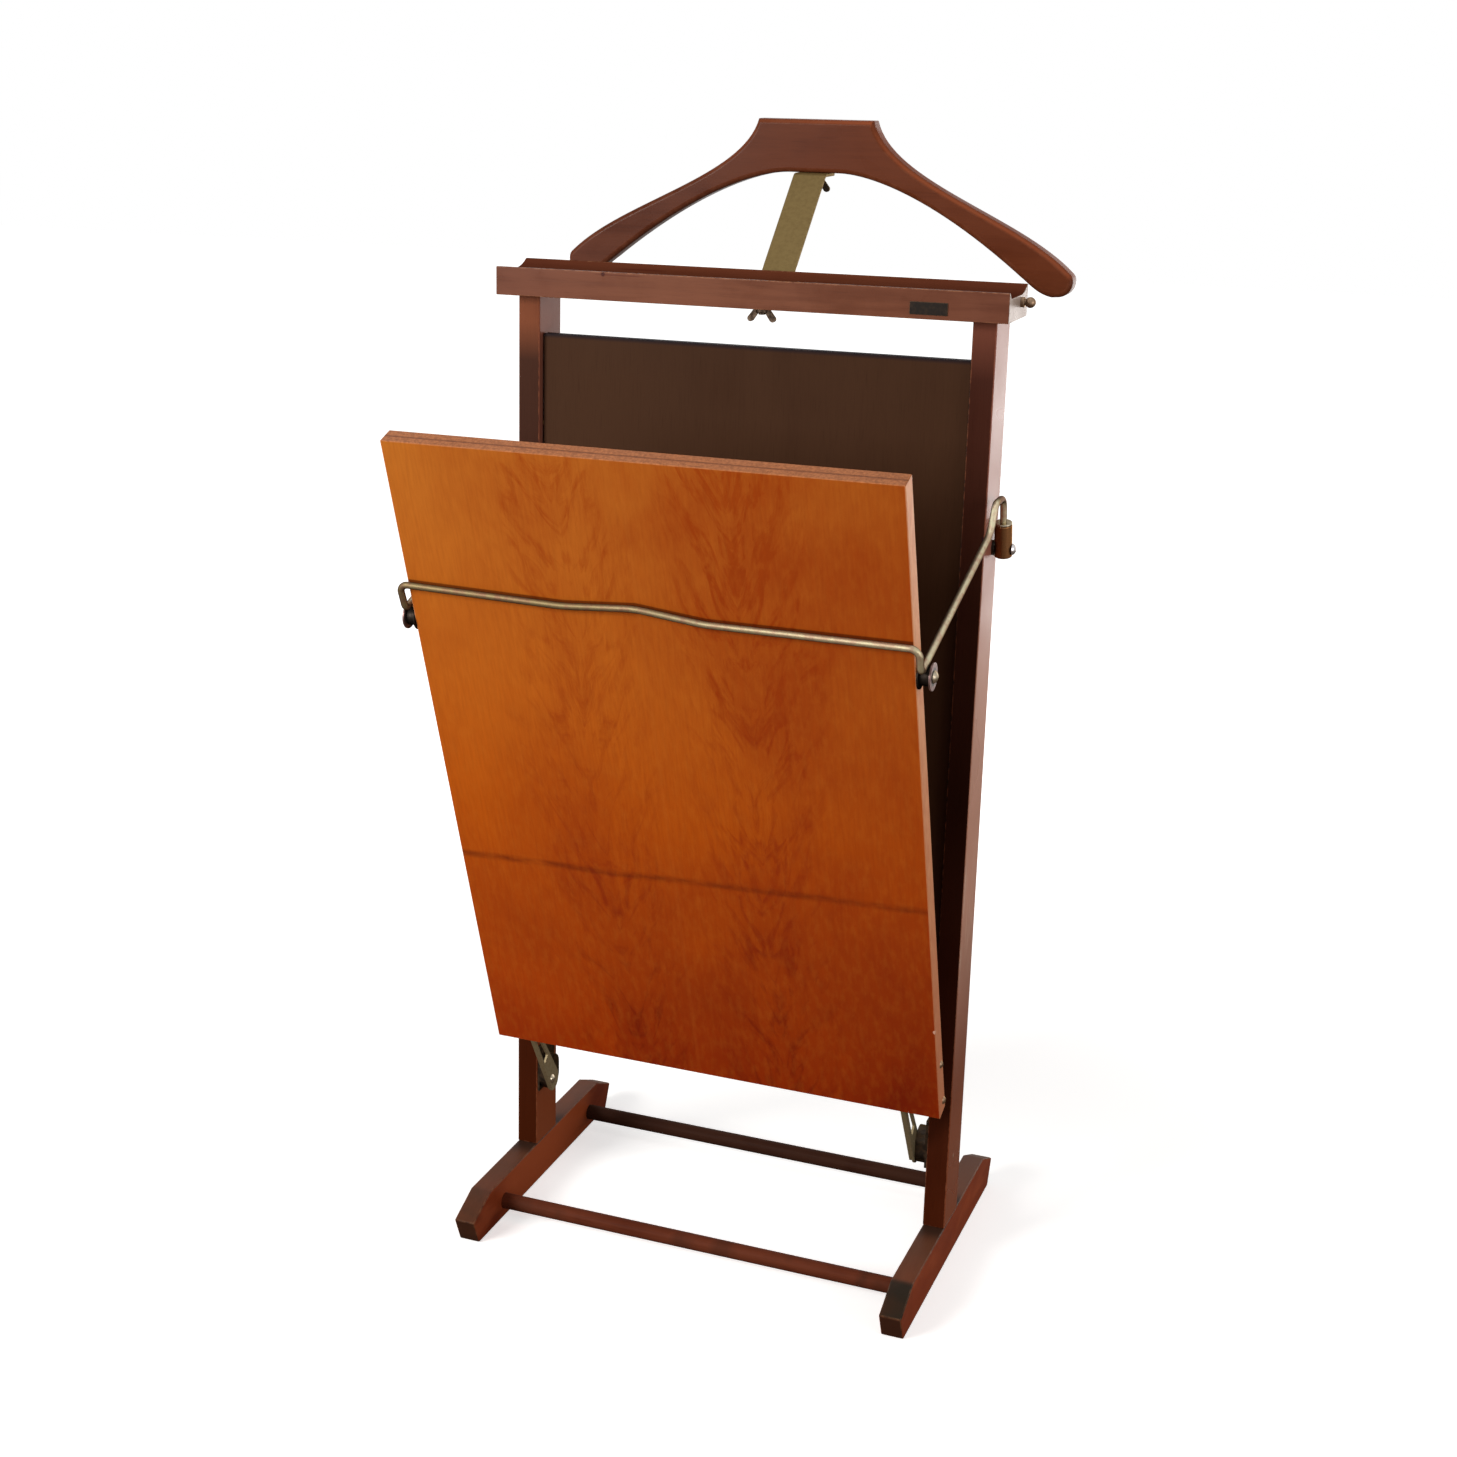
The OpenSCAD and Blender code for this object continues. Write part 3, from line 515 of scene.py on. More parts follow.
def metal(name, base, tarnish, rough=0.32, amount=0.5, metallic=1.0, bump=0.05, rim=(0.5, 0.44, 0.36, 1)):
    """Metal with cloudy tarnish, fine scratches and slight relief; rim tints it where it turns away."""
    graph = Graph(name)
    clouds = graph.noise(260, 4, 0.6)
    fine = graph.noise(900, 3, 0.6)
    spots = graph.remap(clouds, 0.42, 0.66)
    graph.give("Base Color", graph.blend(base, tarnish, spots, amount))
    graph.give("Roughness", graph.remap(clouds, 0.3, 0.7, rough - 0.08, rough + 0.16))
    graph.give("Metallic", metallic)
    graph.give("Specular Tint", rim)
    graph.bump(fine, bump, 0.0001)
    return graph.material


# Materials


def post_wood():
    """Dark red posts with brown tops, darker beside the board and panel partly as painted shade, painted
    sheen on the faces that point right, and a grey inner face on the right one.
    """
    wood = Wood("post_wood")
    x = wood.axis(0)
    z = wood.axis(2)
    height = wood.remap(z, post_low.z, post_high.z)
    # Tone up each post, with brown tops; the darker stretch at the height of the board and panel is partly
    # the wood's tone and partly painted shade from them.
    left = wood.ramp(height, [
        (0.0, colour(64, 24, 7)),
        (0.25, colour(66, 26, 10)),
        (0.75, colour(58, 34, 25)),
        (0.93, colour(66, 38, 27)),
        (0.97, colour(126, 72, 48)),
    ])
    right = wood.ramp(height, [
        (0.0, colour(74, 30, 13)),
        (0.5, colour(50, 25, 16)),
        (0.94, colour(67, 35, 26)),
        (0.985, colour(108, 61, 47)),
    ])
    on_right = wood.math("GREATER_THAN", x, 0)
    wood.stain(2, wood.mix(on_right, left, right))
    outer = wood.facing(0)
    inner = wood.minus(wood.facing(0, both_ways=True), outer)
    wood.lay(colour(52, 42, 36), inner, on_right, 0.9)
    wood.lay(colour(150, 76, 40), outer, wood.remap(height, 0.1, 0.36, 0.65, 0.15))
    # Painted sheen: a pinkish pale colour on the faces that point right, growing with height, weaker on the
    # left post.
    painted_sheen = wood.times(outer, wood.remap(on_right, 0, 1, 0.45, 1))
    wood.lay(colour(172, 108, 90), painted_sheen, wood.remap(height, 0.15, 0.48, 0.1, 0.78))
    scuffed = wood.remap(wood.noise((360, 360, 16), 3, 0.6), 0.46, 0.66)
    patches = wood.remap(wood.noise((70, 70, 20), 2, 0.5, offset=(2, 5, 1)), 0.42, 0.6)
    streak = wood.times(wood.band(z, 0.315, 0.385, 0.05), patches)
    outer_right = wood.times(outer, on_right)
    # Painted sheen: a paler band at mid height on the right post's outer face.
    wood.lay(colour(232, 176, 150), outer_right, wood.band(height, 0.4, 0.56, 0.24), 0.47)
    wood.lay(colour(214, 186, 166), scuffed, streak, wood.times(outer_right, 0.6))
    chip = wood.spot((post_high.x, post_low.y, 0.686), 2.2 * MM, 0.6 * MM)
    wood.lay(colour(40, 24, 34), chip, 0.9)
    fresh = wood.spot((post_high.x, post_low.y, 0.676), 2.2 * MM, 0.8 * MM)
    wood.lay(colour(170, 100, 70), fresh, 0.8)
    low_gloss = wood.remap(height, 0.15, 0.35, 0.1, 0.32)
    high_gloss = wood.remap(height, 0.5, 0.72, 1, 0.34)
    gloss = wood.mix_values(outer_right, 0.04, wood.times(low_gloss, high_gloss))
    return wood.finish(colour(150, 90, 62), 0.4, rough=0.3, gloss=gloss)


def dowel_wood():
    wood = Wood("dowel_wood")
    wood.stain(2, colour(196, 160, 112))
    return wood.finish(colour(210, 180, 130), 0.5)


def stretcher_wood():
    """The front stretcher is red-brown, the rear one dark brown."""
    wood = Wood("stretcher_wood")
    tone = wood.mix(wood.remap(wood.axis(1), -0.02, 0.02), colour(106, 54, 36), colour(66, 40, 30))
    wood.stain(0, tone, mottle=24, depth=0.9)
    wood.lay(colour(58, 34, 24), wood.remap(wood.clouds, 0.46, 0.62, 0, 0.5))
    return wood.finish(colour(120, 76, 54), 0.4, rough=0.52, gloss=0.03)


def foot_wood():
    """Red-brown sides, grey-brown tops as painted sheen from above, and worn black-brown ends."""
    wood = Wood("foot_wood")
    top = wood.facing(2)
    side_tone = wood.mix(wood.remap(wood.axis(0), 0, 0.1), colour(112, 44, 21), colour(138, 60, 32))
    # The grey-brown tone on the upward faces is painted sheen from above.
    wood.stain(1, wood.mix(top, side_tone, colour(98, 60, 42)))
    wear_and_reflection = wood.remap(wood.noise((18, 12, 30), 3, 0.5, 0.5, offset=(4, 2, 0)), 0.5, 0.68)
    wood.lay(colour(168, 84, 48), wear_and_reflection, wood.remap(top, 0, 1, 0.4, 0.12))
    along = wood.minus(wood.axis(1), POST_Y)
    on_side = wood.remap(top, 0, 1, 1, 0)
    left = wood.remap(wood.axis(0), -0.1, 0, 0.55, 0)
    rubbed_left = wood.times(wood.band(along, -0.075, 0.085, 0.04), left)
    wood.lay(colour(176, 88, 48), rubbed_left, on_side)
    reach = wood.absolute(along)
    patchy = wood.remap(wood.clouds, 0.35, 0.6, 0.55, 1)
    greyed = wood.remap(wood.axis(0), 0, 0.1, 0.35, 0.95)
    slope = wood.times(wood.remap(along, -0.131, -0.122, 1, 0, smooth=True), greyed)
    wood.lay(colour(40, 37, 30), slope, patchy, wood.remap(top, 0, 1, 0.12, 1))
    wood.lay(colour(108, 88, 70), wood.remap(along, 0.135, 0.16), top, 0.5)
    wood.lay(colour(38, 28, 19), wood.facing(1, 0.7, 0.85, both_ways=True), 0.85)
    wood.lay(colour(40, 30, 25), top, wood.remap(reach, 0.03, 0.052, 0.75, 0, smooth=True))
    return wood.finish(colour(136, 92, 64), 0.35, rough=0.36, gloss=0.05)


def rail_wood():
    """Red-brown rail, darker in its tray as painted shade, with end faces paled as painted sheen, a knot
    and a crack.
    """
    wood = Wood("rail_wood")
    x = wood.axis(0)
    z = wood.axis(2)
    reach = wood.absolute(x)
    tone = wood.mix(wood.remap(reach, 0.1, 0.228, 0, 0.3), colour(121, 73, 52), colour(86, 46, 40))
    wood.stain(0, tone, figure=60, lengthwise=5, mottle=26)
    # Painted shade: the tray's floor and coves behind the front lip laid darker than the front.
    behind_lip = wood.remap(wood.axis(1), rail_low.y + 2.5 * MM, rail_low.y + 4 * MM)
    tray = wood.times(behind_lip, wood.facing(2, 0, 0.3))
    wood.lay(colour(88, 40, 24), tray, 0.65)
    knot = (-0.1266, rail_low.y, rail_low.z + 0.0225)
    wood.lay(colour(60, 22, 16), wood.spot(knot, 1.2 * MM, 1.2 * MM), 0.95)
    crack = wood.absolute(wood.minus(z, rail_low.z + 0.0222))
    run = wood.band(x, -0.126, -0.098, 0.012)
    wood.lay(colour(78, 32, 22), wood.remap(crack, 0.2 * MM, 0.8 * MM, 0.55, 0), run)
    # Painted sheen: the end faces laid over with a pale grey-beige.
    end = wood.facing(0, 0.7, 0.9, both_ways=True)
    wood.lay(colour(184, 168, 156), end, 0.8)
    gloss = wood.remap(tray, 0, 1, 0.09, 0)
    worn = wood.remap(wood.facing(0, 0.1, 0.4, both_ways=True), 0, 1, 0.35, 0.04)
    return wood.finish(colour(186, 132, 98), worn, rough=0.32, gloss=gloss)


FEATHER_X = (-0.077, 0.075)
FEATHER_LEAN = math.radians(19)


def feathers(graph, x, s, sway):
    """Two columns of streaks that run down towards each column's middle, as in matched veneer."""
    total = 0.0
    for column in FEATHER_X:
        off = graph.absolute(graph.minus(graph.plus(x, sway), column))
        outwards = graph.times(off, math.cos(FEATHER_LEAN))
        across = graph.minus(outwards, graph.times(s, math.sin(FEATHER_LEAN)))
        along = graph.plus(graph.times(off, math.sin(FEATHER_LEAN)), s)
        place = graph.point(graph.times(across, 90), graph.times(along, 20), column * 40)
        streaks = graph.remap(graph.noise_at(place, 5, 0.6, 1.1), 0.48, 0.74)
        near = graph.remap(off, 0.01, 0.09, 1, 0, smooth=True)
        total = graph.plus(graph.times(streaks, near), total)
    return total


def reflected_line(graph, x, s, sway):
    """Dark, uneven line across the lower face: a painted reflection of a dark band in the lacquer."""
    middle_s = 0.231
    slope = 0.035
    line_at = graph.plus(graph.plus(graph.times(x, slope), middle_s), sway)
    off_line = graph.absolute(graph.minus(s, line_at))
    narrow = graph.remap(off_line, 0.0003, 0.006, 1, 0, smooth=True)
    patchy = graph.remap(graph.noise((26, 26, 90), 4, 0.65, offset=(2, 0, 5)), 0.34, 0.66, 0.12, 0.85)
    return graph.times(narrow, patchy)


def bar_contact_shadow(graph, x, s):
    """Painted contact shadow: a dark line on the face just above the bail's bar, which rises and dips
    beside the middle.
    """
    bar_at = graph.plus(graph.remap(x, -0.221, -0.075, 0, -0.0036), BAR_S)
    bar_at = graph.plus(graph.remap(x, -0.075, -0.012, 0, 0.0048), bar_at)
    bar_at = graph.plus(graph.remap(x, -0.012, 0.047, 0, -0.0074), bar_at)
    return graph.band(graph.minus(s, bar_at), -0.002, 0.0024, 0.0014)


def board_wood():
    """Orange face with two feather figures, redder and darker towards the bottom and the right, partly as
    painted shade.
    """
    wood = Wood("board_wood")
    x = wood.axis(0)
    depth = wood.axis(1)
    s = wood.axis(2)
    wood.fibre = wood.noise((420, 420, 30), 5, 0.65)
    wood.clouds = wood.noise((7, 7, 4), 4, 0.55, 0.8, offset=(8, 3, 1))
    speckle = wood.noise((150, 150, 60), 4, 0.6)
    sway = wood.remap(wood.noise((5, 5, 5), 2, 0.5, offset=(1, 7, 2)), 0.3, 0.7, -0.012, 0.012)
    height = wood.remap(s, 0, BOARD_L)
    # Redder and darker towards the bottom: partly the finish, partly painted shade.
    orange = wood.ramp(height, [
        (0.0, colour(166, 56, 4)),
        (0.45, colour(188, 88, 12)),
        (1.0, colour(190, 112, 38)),
    ])
    deep = wood.ramp(height, [
        (0.0, colour(116, 27, 3)),
        (0.4, colour(146, 50, 8)),
        (1.0, colour(154, 63, 10)),
    ])
    # Darker towards the right: partly the wood's tone, partly painted shade.
    right = wood.remap(x, -0.2, 0.22, 0, 0.6)
    blotch = wood.remap(wood.clouds, 0.36, 0.68, 0, 0.5)
    grain = wood.times(feathers(wood, x, s, sway), 0.55)
    share = wood.plus(wood.plus(blotch, right), grain)
    wood.base = wood.mix(wood.math("MINIMUM", share, 1.0), orange, deep)
    wood.lay(colour(112, 36, 8), wood.remap(wood.fibre, 0.4, 0.7, 0, 0.2))
    wood.lay(colour(200, 120, 40), wood.remap(speckle, 0.45, 0.75, 0, 0.14))
    seam = wood.band(x, -0.0112, -0.0098, 0.002)
    wood.lay(colour(206, 128, 52), seam, 0.04)
    # Painted reflection: a dark uneven line laid across the lower face.
    wear_and_reflection = wood.times(reflected_line(wood, x, s, wood.times(sway, 0.12)), 0.75)
    wood.lay(colour(84, 24, 8), wear_and_reflection)
    # Painted shadow: a dark band just above the bail's bar.
    wood.lay(colour(70, 20, 4), bar_contact_shadow(wood, x, s), 0.75)
    # Side edges: pale peach edge banding, made paler as painted light and darker towards the bottom as
    # painted falloff.
    side = wood.remap(wood.absolute(x), board_high.x - 0.9 * MM, board_high.x - 0.2 * MM)
    edge_light_tone = wood.mix(wood.remap(speckle, 0.35, 0.7), colour(240, 172, 124), colour(222, 146, 102))
    edge_light_tone = wood.mix(wood.remap(s, 0.05, 0.5, 0.75, 0), edge_light_tone, colour(178, 106, 74))
    wood.lay(edge_light_tone, side)
    top = wood.remap(s, BOARD_L - 0.9 * MM, BOARD_L - 0.2 * MM)
    ply = wood.band(depth, 0.0075, 0.0088, 0.0008)
    edge_tone = wood.mix(wood.remap(wood.fibre, 0.35, 0.65), colour(186, 118, 76), colour(146, 90, 58))
    edge_tone = wood.blend(edge_tone, colour(96, 52, 34), ply, 0.6)
    wood.lay(edge_tone, top)
    dent = wood.spot((board_high.x, 0, 0.104), 1.6 * MM, 1 * MM)
    wood.lay(colour(214, 168, 146), dent, 0.9)
    gloss = wood.remap(wood.attribute("edge"), 0, 1, 0.08, 0.02)
    return wood.finish(colour(214, 140, 92), 0.3, rough=0.42, gloss=gloss, bump=0.06)


def hanger_wood():
    """Dark red-brown, with painted light on the upper side of the right arm."""
    wood = Wood("hanger_wood")
    right = wood.remap(wood.axis(0), -0.12, 0.05)
    tone = wood.mix(right, colour(94, 50, 33), colour(102, 51, 29))
    wood.stain(0, tone, figure=40, lengthwise=5, mottle=16)
    # Painted light: the upper faces of the right arm laid lighter, as if lit from above.
    upper = wood.facing(2, 0.1, 0.5)
    wood.lay(colour(158, 84, 54), upper, right, 0.6)
    gloss = wood.remap(upper, 0, 1, 0.06, 0.01)
    return wood.finish(colour(130, 80, 58), 0.2, rough=0.28, gloss=gloss, bump=0.06)


def panel_wood():
    """Dark satin panel, blue-black along its top edge."""
    wood = Wood("panel_wood")
    wood.stain(2, colour(68, 44, 29), figure=9, depth=0.4)
    top = wood.remap(wood.axis(2), panel_high.z - 4 * MM, panel_high.z - 0.5 * MM)
    wood.lay(colour(24, 22, 30), top, 0.9)
    return wood.finish(colour(80, 60, 50), 0.3, rough=0.45, gloss=0.04, bump=0.05)


def wire_finish():
    """Tan wire with pinkish patches, darker along the bar as painted shade, brown where its round side
    turns away as painted reflection.
    """
    graph = Graph("wire_metal")
    clouds = graph.noise(150, 4, 0.6)
    fine = graph.noise(900, 3, 0.6)
    tan = graph.mix(graph.remap(clouds, 0.42, 0.62), colour(214, 205, 172), colour(198, 172, 146))
    # Painted shade: the bar, mostly its left half, laid in a darker tone.
    low_part = graph.remap(graph.axis(1), wire_low.y + 0.012, wire_low.y + 0.03, 1, 0)
    bar = graph.times(low_part, graph.remap(graph.axis(0), -0.05, 0.2, 1, 0.45))
    bar_shade_tone = graph.mix(graph.remap(clouds, 0.42, 0.62), colour(122, 108, 78), colour(118, 92, 72))
    tan = graph.mix(bar, tan, bar_shade_tone)
    # Painted reflection: brown where the wire's round side turns away from the view, as the wood mirrored
    # in it.
    weight = graph.node("LayerWeight", {"Blend": 0.5})
    wood_reflection = graph.remap(weight.outputs["Facing"], 0.3, 0.75, 0, 0.85, smooth=True)
    graph.give("Base Color", graph.mix(wood_reflection, tan, colour(70, 46, 30)))
    smoother = graph.remap(clouds, 0.3, 0.7, 0.28, 0.4)
    graph.give("Roughness", graph.mix_values(bar, smoother, 0.55))
    graph.give("Metallic", 0.75)
    graph.give("Specular IOR Level", 0.15)
    graph.give("Specular Tint", (0.3, 0.24, 0.18, 1))
    graph.bump(fine, 0.02, 0.0001)
    return graph.material


def washer_finish():
    """Pinkish grey rim around a recess darkened as painted shade, on both roller washers."""
    graph = Graph("washer_metal")
    clouds = graph.noise(260, 4, 0.6)
    rim_tone = graph.mix(graph.remap(clouds, 0.4, 0.65), colour(132, 106, 102), colour(88, 66, 62))
    washer = middle(washer_low, washer_high)
    outer_x = graph.times(graph.math("SIGN", graph.axis(0)), washer_high.x)
    centre = graph.point(outer_x, washer.y, washer.z)
    # Painted shade: the washer's recess about the screw laid nearly black.
    recess = graph.remap(graph.distance(centre), 7.2 * MM, 7.8 * MM, 1, 0)
    base = graph.mix(recess, rim_tone, colour(26, 20, 18))
    graph.give("Base Color", base)
    graph.give("Roughness", graph.remap(clouds, 0.3, 0.7, 0.32, 0.52))
    graph.give("Metallic", graph.remap(recess, 0, 1, 0.8, 0.2))
    graph.bump(clouds, 0.05, 0.0001)
    return graph.material


def label_finish():
    """Bare dark plate with a brushed, slightly worn surface."""
    graph = Graph("label_finish")
    brushed = graph.noise((60, 60, 2400), 3, 0.6)
    wear_and_reflection = graph.remap(graph.noise(240, 3, 0.6), 0.45, 0.65)
    base = graph.blend(colour(30, 24, 20), colour(52, 40, 30), wear_and_reflection, 0.5)
    base = graph.blend(base, colour(92, 70, 50), graph.attribute("edge"), 0.6)
    graph.give("Base Color", base)
    graph.give("Roughness", graph.remap(brushed, 0.3, 0.7, 0.3, 0.5))
    graph.give("Metallic", 0.15)
    graph.give("Specular IOR Level", 0.1)
    graph.bump(brushed, 0.1, 0.0002)
    return graph.material


# Wooden pieces


def make_foot(side, material):
    low, high = foot_low, foot_high
    outline = [
        (low.y + FOOT_UNDERCUT, low.z),
        (high.y - FOOT_UNDERCUT, low.z),
        (high.y, FOOT_END_H),
        (high.y - FOOT_SLOPE, high.z),
        (low.y + FOOT_SLOPE, high.z),
        (low.y, FOOT_END_H),
    ]
    bm = bmesh.new()
    prism_into(bm, outline, along_x, side * low.x, side * high.x)
    round_edges(bm, 1.4 * MM)
    name = side_name("foot", side)
    belongs(add_object(name + "_wood", bm), "stand", "dark_wood", material, name)


def make_post(side, material):
    bm = bmesh.new()
    outline = box_outline(side * post_low.x, post_low.y, side * post_high.x, post_high.y)
    prism_into(bm, outline, along_z, post_low.z, post_high.z)
    round_edges(bm, 1.2 * MM)
    name = side_name("post", side)
    belongs(add_object(name + "_wood", bm), "stand", "stand_wood", material, name)


def make_rail(material):
    low, high = rail_low, rail_high
    floor_z = low.z + TRAY_FLOOR_H
    front_turn = math.degrees(math.acos(1 - (RAIL_FRONT_H - TRAY_FLOOR_H) / FRONT_COVE_R))
    back_turn = math.degrees(math.acos(1 - (high.z - floor_z) / BACK_COVE_R))
    front_foot = low.y + FRONT_LIP + FRONT_COVE_R * math.sin(math.radians(front_turn))
    back_foot = high.y - BACK_LIP - BACK_COVE_R * math.sin(math.radians(back_turn))
    outline = [(low.y, low.z), (low.y, low.z + RAIL_FRONT_H)]
    outline += arc(front_foot, floor_z + FRONT_COVE_R, FRONT_COVE_R, -90 - front_turn, -90, 8)
    outline += arc(back_foot, floor_z + BACK_COVE_R, BACK_COVE_R, -90, -90 + back_turn, 12)
    outline += [(high.y, high.z), (high.y, low.z)]
    bm = bmesh.new()
    prism_into(bm, outline, along_x, low.x, high.x)
    round_edges(bm, 0.8 * MM, least_angle=30)
    belongs(add_object("rail_wood_piece", bm), "stand", "rail_wood", material, "tray_rail")


def make_panel(material):
    bm = bmesh.new()
    outline = box_outline(panel_low.x, panel_low.y, panel_high.x, panel_high.y)
    prism_into(bm, outline, along_z, panel_low.z, panel_high.z)
    round_edges(bm, 0.8 * MM)
    belongs(add_object("rear_panel_wood", bm), "stand", "panel_wood", material, "rear_panel")


def make_board(material):
    bm = bmesh.new()
    outline = box_outline(board_low.x, 0, board_high.x, BOARD_T)
    prism_into(bm, outline, along_z, 0, BOARD_L)
    round_edges(bm, 0.7 * MM)
    piece = add_object("front_board_wood", bm, BOARD_MATRIX)
    belongs(piece, "board", "board_wood", material, "front_board")


def hanger_outline():
    """Front view of the hanger as (x, z), anticlockwise, from the part's source."""
    half = 240 * MM
    drop = 100 * MM
    middle_z = hanger_high.z - 46.5 * MM

    def at(out, down):
        return (half * out, middle_z - drop * down)

    right = [(0, hanger_high.z)]
    right += bezier((54 * MM, hanger_high.z), at(0.283, 0.06), at(0.776, 0.315), at(0.983, 0.78), 32)
    right += bezier(at(0.992, 0.8), at(1.012, 0.855), at(1, 0.975), at(0.954, 0.995), 10)
    right += bezier(at(0.925, 1), at(0.883, 0.985), at(0.854, 0.925), at(0.833, 0.885), 8)
    right += bezier(at(0.825, 0.87), at(0.45, 0.145), at(0.2, 0), (23 * MM, middle_z), 26)
    right += [(0, middle_z)]
    left = [(-x, z) for x, z in reversed(right[1:-1])]
    return list(reversed(right + left))


def make_hanger(material):
    bm = bmesh.new()
    rounded_plank(bm, hanger_outline(), along_y, hanger_low.y, hanger_high.y, 4.5 * MM)
    belongs(add_object("hanger_plank", bm), "coat_hanger", "hanger_wood", material, "hanger")


# Wire, strap and turned fittings; their sizes, too, are repeated from the part's source

PIVOT = middle(pivot_low, pivot_high)
ROLLER = middle(roller_low, roller_high)
BAIL_X = wire_high.x - WIRE_D / 2
HUB_R = 15.5 / 2 * MM
SLEEVE_R = 7.5 * MM
SLEEVE_LOW = -7 * MM
RING_LOW = 22.5 * MM
RING_HIGH = 24.5 * MM
SLEEVE_LEAN = math.radians(12.6)
SLEEVE_UP = Vector((0, -math.sin(SLEEVE_LEAN), math.cos(SLEEVE_LEAN)))
ARM_L = 203 * MM
ARM_LEAN_LEFT = 2.6 * MM
ARM_LEAN_RIGHT = 3.6 * MM
LEFT_FOOT_RISE = 3.5 * MM
ARCH_H = 47.2 * MM
BAR_S = 510.7 * MM
BAR_DEPTH = -WIRE_D / 2 - 1.3 * MM


def from_pivot(y, z):
    """Point on the middle plane, in millimetres from the bail's pivot."""
    return Vector((0, PIVOT.y + y * MM, PIVOT.z + z * MM))


def bail_corners():
    """Corners of the wire and the radius of each in mm, from the left sleeve round to the right one."""
    elbow = from_pivot(-51, 23)
    clear = HUB_R + WIRE_D / 2 + 0.3 * MM
    step = elbow - ROLLER
    fall = math.atan2(step.z, step.y) - math.asin(clear / math.hypot(step.y, step.z))
    arm_foot = elbow - ARM_L * Vector((0, math.cos(fall), math.sin(fall)))
    side = [
        (PIVOT + 4 * MM * SLEEVE_UP, 0),
        (PIVOT + ARCH_H * SLEEVE_UP, 12),
        (from_pivot(-38.5, 45.6), 12),
        (elbow, 32),
    ]
    left_x = -BAIL_X + ARM_LEAN_LEFT
    right_x = BAIL_X - ARM_LEAN_RIGHT
    bar = [
        (arm_foot + Vector((left_x, 0, LEFT_FOOT_RISE)), 5),
        (on_board(left_x, BAR_DEPTH, BAR_S), 8),
        (on_board(-75 * MM, BAR_DEPTH, BAR_S - 3.6 * MM), 120),
        (on_board(-12 * MM, BAR_DEPTH, BAR_S + 1.4 * MM), 90),
        (on_board(47 * MM, BAR_DEPTH, BAR_S - 6.2 * MM), 90),
        (on_board(right_x, BAR_DEPTH, BAR_S - 6.6 * MM), 8),
        (arm_foot + Vector((right_x, 0, 0)), 5),
    ]
    left = [(p + Vector((-BAIL_X, 0, 0)), r) for p, r in side]
    right = [(p + Vector((BAIL_X, 0, 0)), r) for p, r in reversed(side)]
    return left + bar + right


def rounded_path(corners):
    """Points along the corners with each inner one rounded to its radius in millimetres."""
    points = [corners[0][0]]
    for i in range(1, len(corners) - 1):
        here, radius = corners[i]
        u = (here - corners[i - 1][0]).normalized()
        w = (corners[i + 1][0] - here).normalized()
        turn = u.angle(w)
        m = (w - u.dot(w) * u).normalized()
        r = radius * MM
        centre = here - u * r * math.tan(turn / 2) + r * m
        steps = max(4, math.ceil(math.degrees(turn) / 5))
        for k in range(steps + 1):
            a = turn * k / steps
            points.append(centre - r * math.cos(a) * m + r * math.sin(a) * u)
    points.append(corners[-1][0])
    return points


def make_wire(material):
    curve = bpy.data.curves.new("bail_wire_bent", "CURVE")
    curve.dimensions = "3D"
    curve.bevel_depth = WIRE_D / 2
    curve.bevel_resolution = 5
    curve.use_fill_caps = True
    points = rounded_path(bail_corners())
    spline = curve.splines.new("POLY")
    spline.points.add(len(points) - 1)
    for target, point in zip(spline.points, points):
        target.co = (*point, 1)
    piece = bpy.data.objects.new("bail_wire_bent", curve)
    bpy.context.scene.collection.objects.link(piece)
    belongs(piece, "bail", "wire_metal", material, "bail_wire")


def make_strap(material):
    """Bent flat strap: two tabs and a slope with rounded bends."""
    t = STRAP_T
    top = strap_high.z - t / 2
    bottom = strap_low.z + t / 2
    bottom_y = post_high.y + 5.6 * MM
    top_y = hanger_low.y - 9 * MM
    rise = Vector((top_y - bottom_y, top - bottom)).normalized()
    shift = t / 2 * (1 - rise.x) / rise.y
    corners = [
        (Vector((0, strap_low.y, bottom)), 0),
        (Vector((0, bottom_y + shift, bottom)), 5),
        (Vector((0, top_y + shift, top)), 6),
        (Vector((0, strap_high.y, top)), 0),
    ]
    path = rounded_path(corners)
    above = []
    below = []
    for i, point in enumerate(path):
        before = path[max(i - 1, 0)]
        after = path[min(i + 1, len(path) - 1)]
        d = (after - before).normalized()
        n = Vector((0, -d.z, d.y)) * (t / 2)
        above.append(((point + n).y, (point + n).z))
        below.append(((point - n).y, (point - n).z))
    bm = bmesh.new()
    prism_into(bm, above + below[::-1], along_x, strap_low.x, strap_high.x)
    round_edges(bm, 0.6 * MM, segments=2, least_angle=40)
    belongs(add_object("hanger_strap_bent", bm), "stand", "strap_metal", material, "hanger_strap")


def wing_outline():
    """Front view of the right wing, below and beside the middle of the nut's top."""
    span = 12.5
    drop = 14
    outline = [(3.0, -5.8), (span - 4.6, 1.0 - drop)]
    outline += [(u, v) for u, v in arc(span - 2.4, 3 - drop, 2.8, 215, 385, 10)]
    outline += [(5.4, -0.5), (3.0, -0.5)]
    return [(u * MM, v * MM) for u, v in outline]


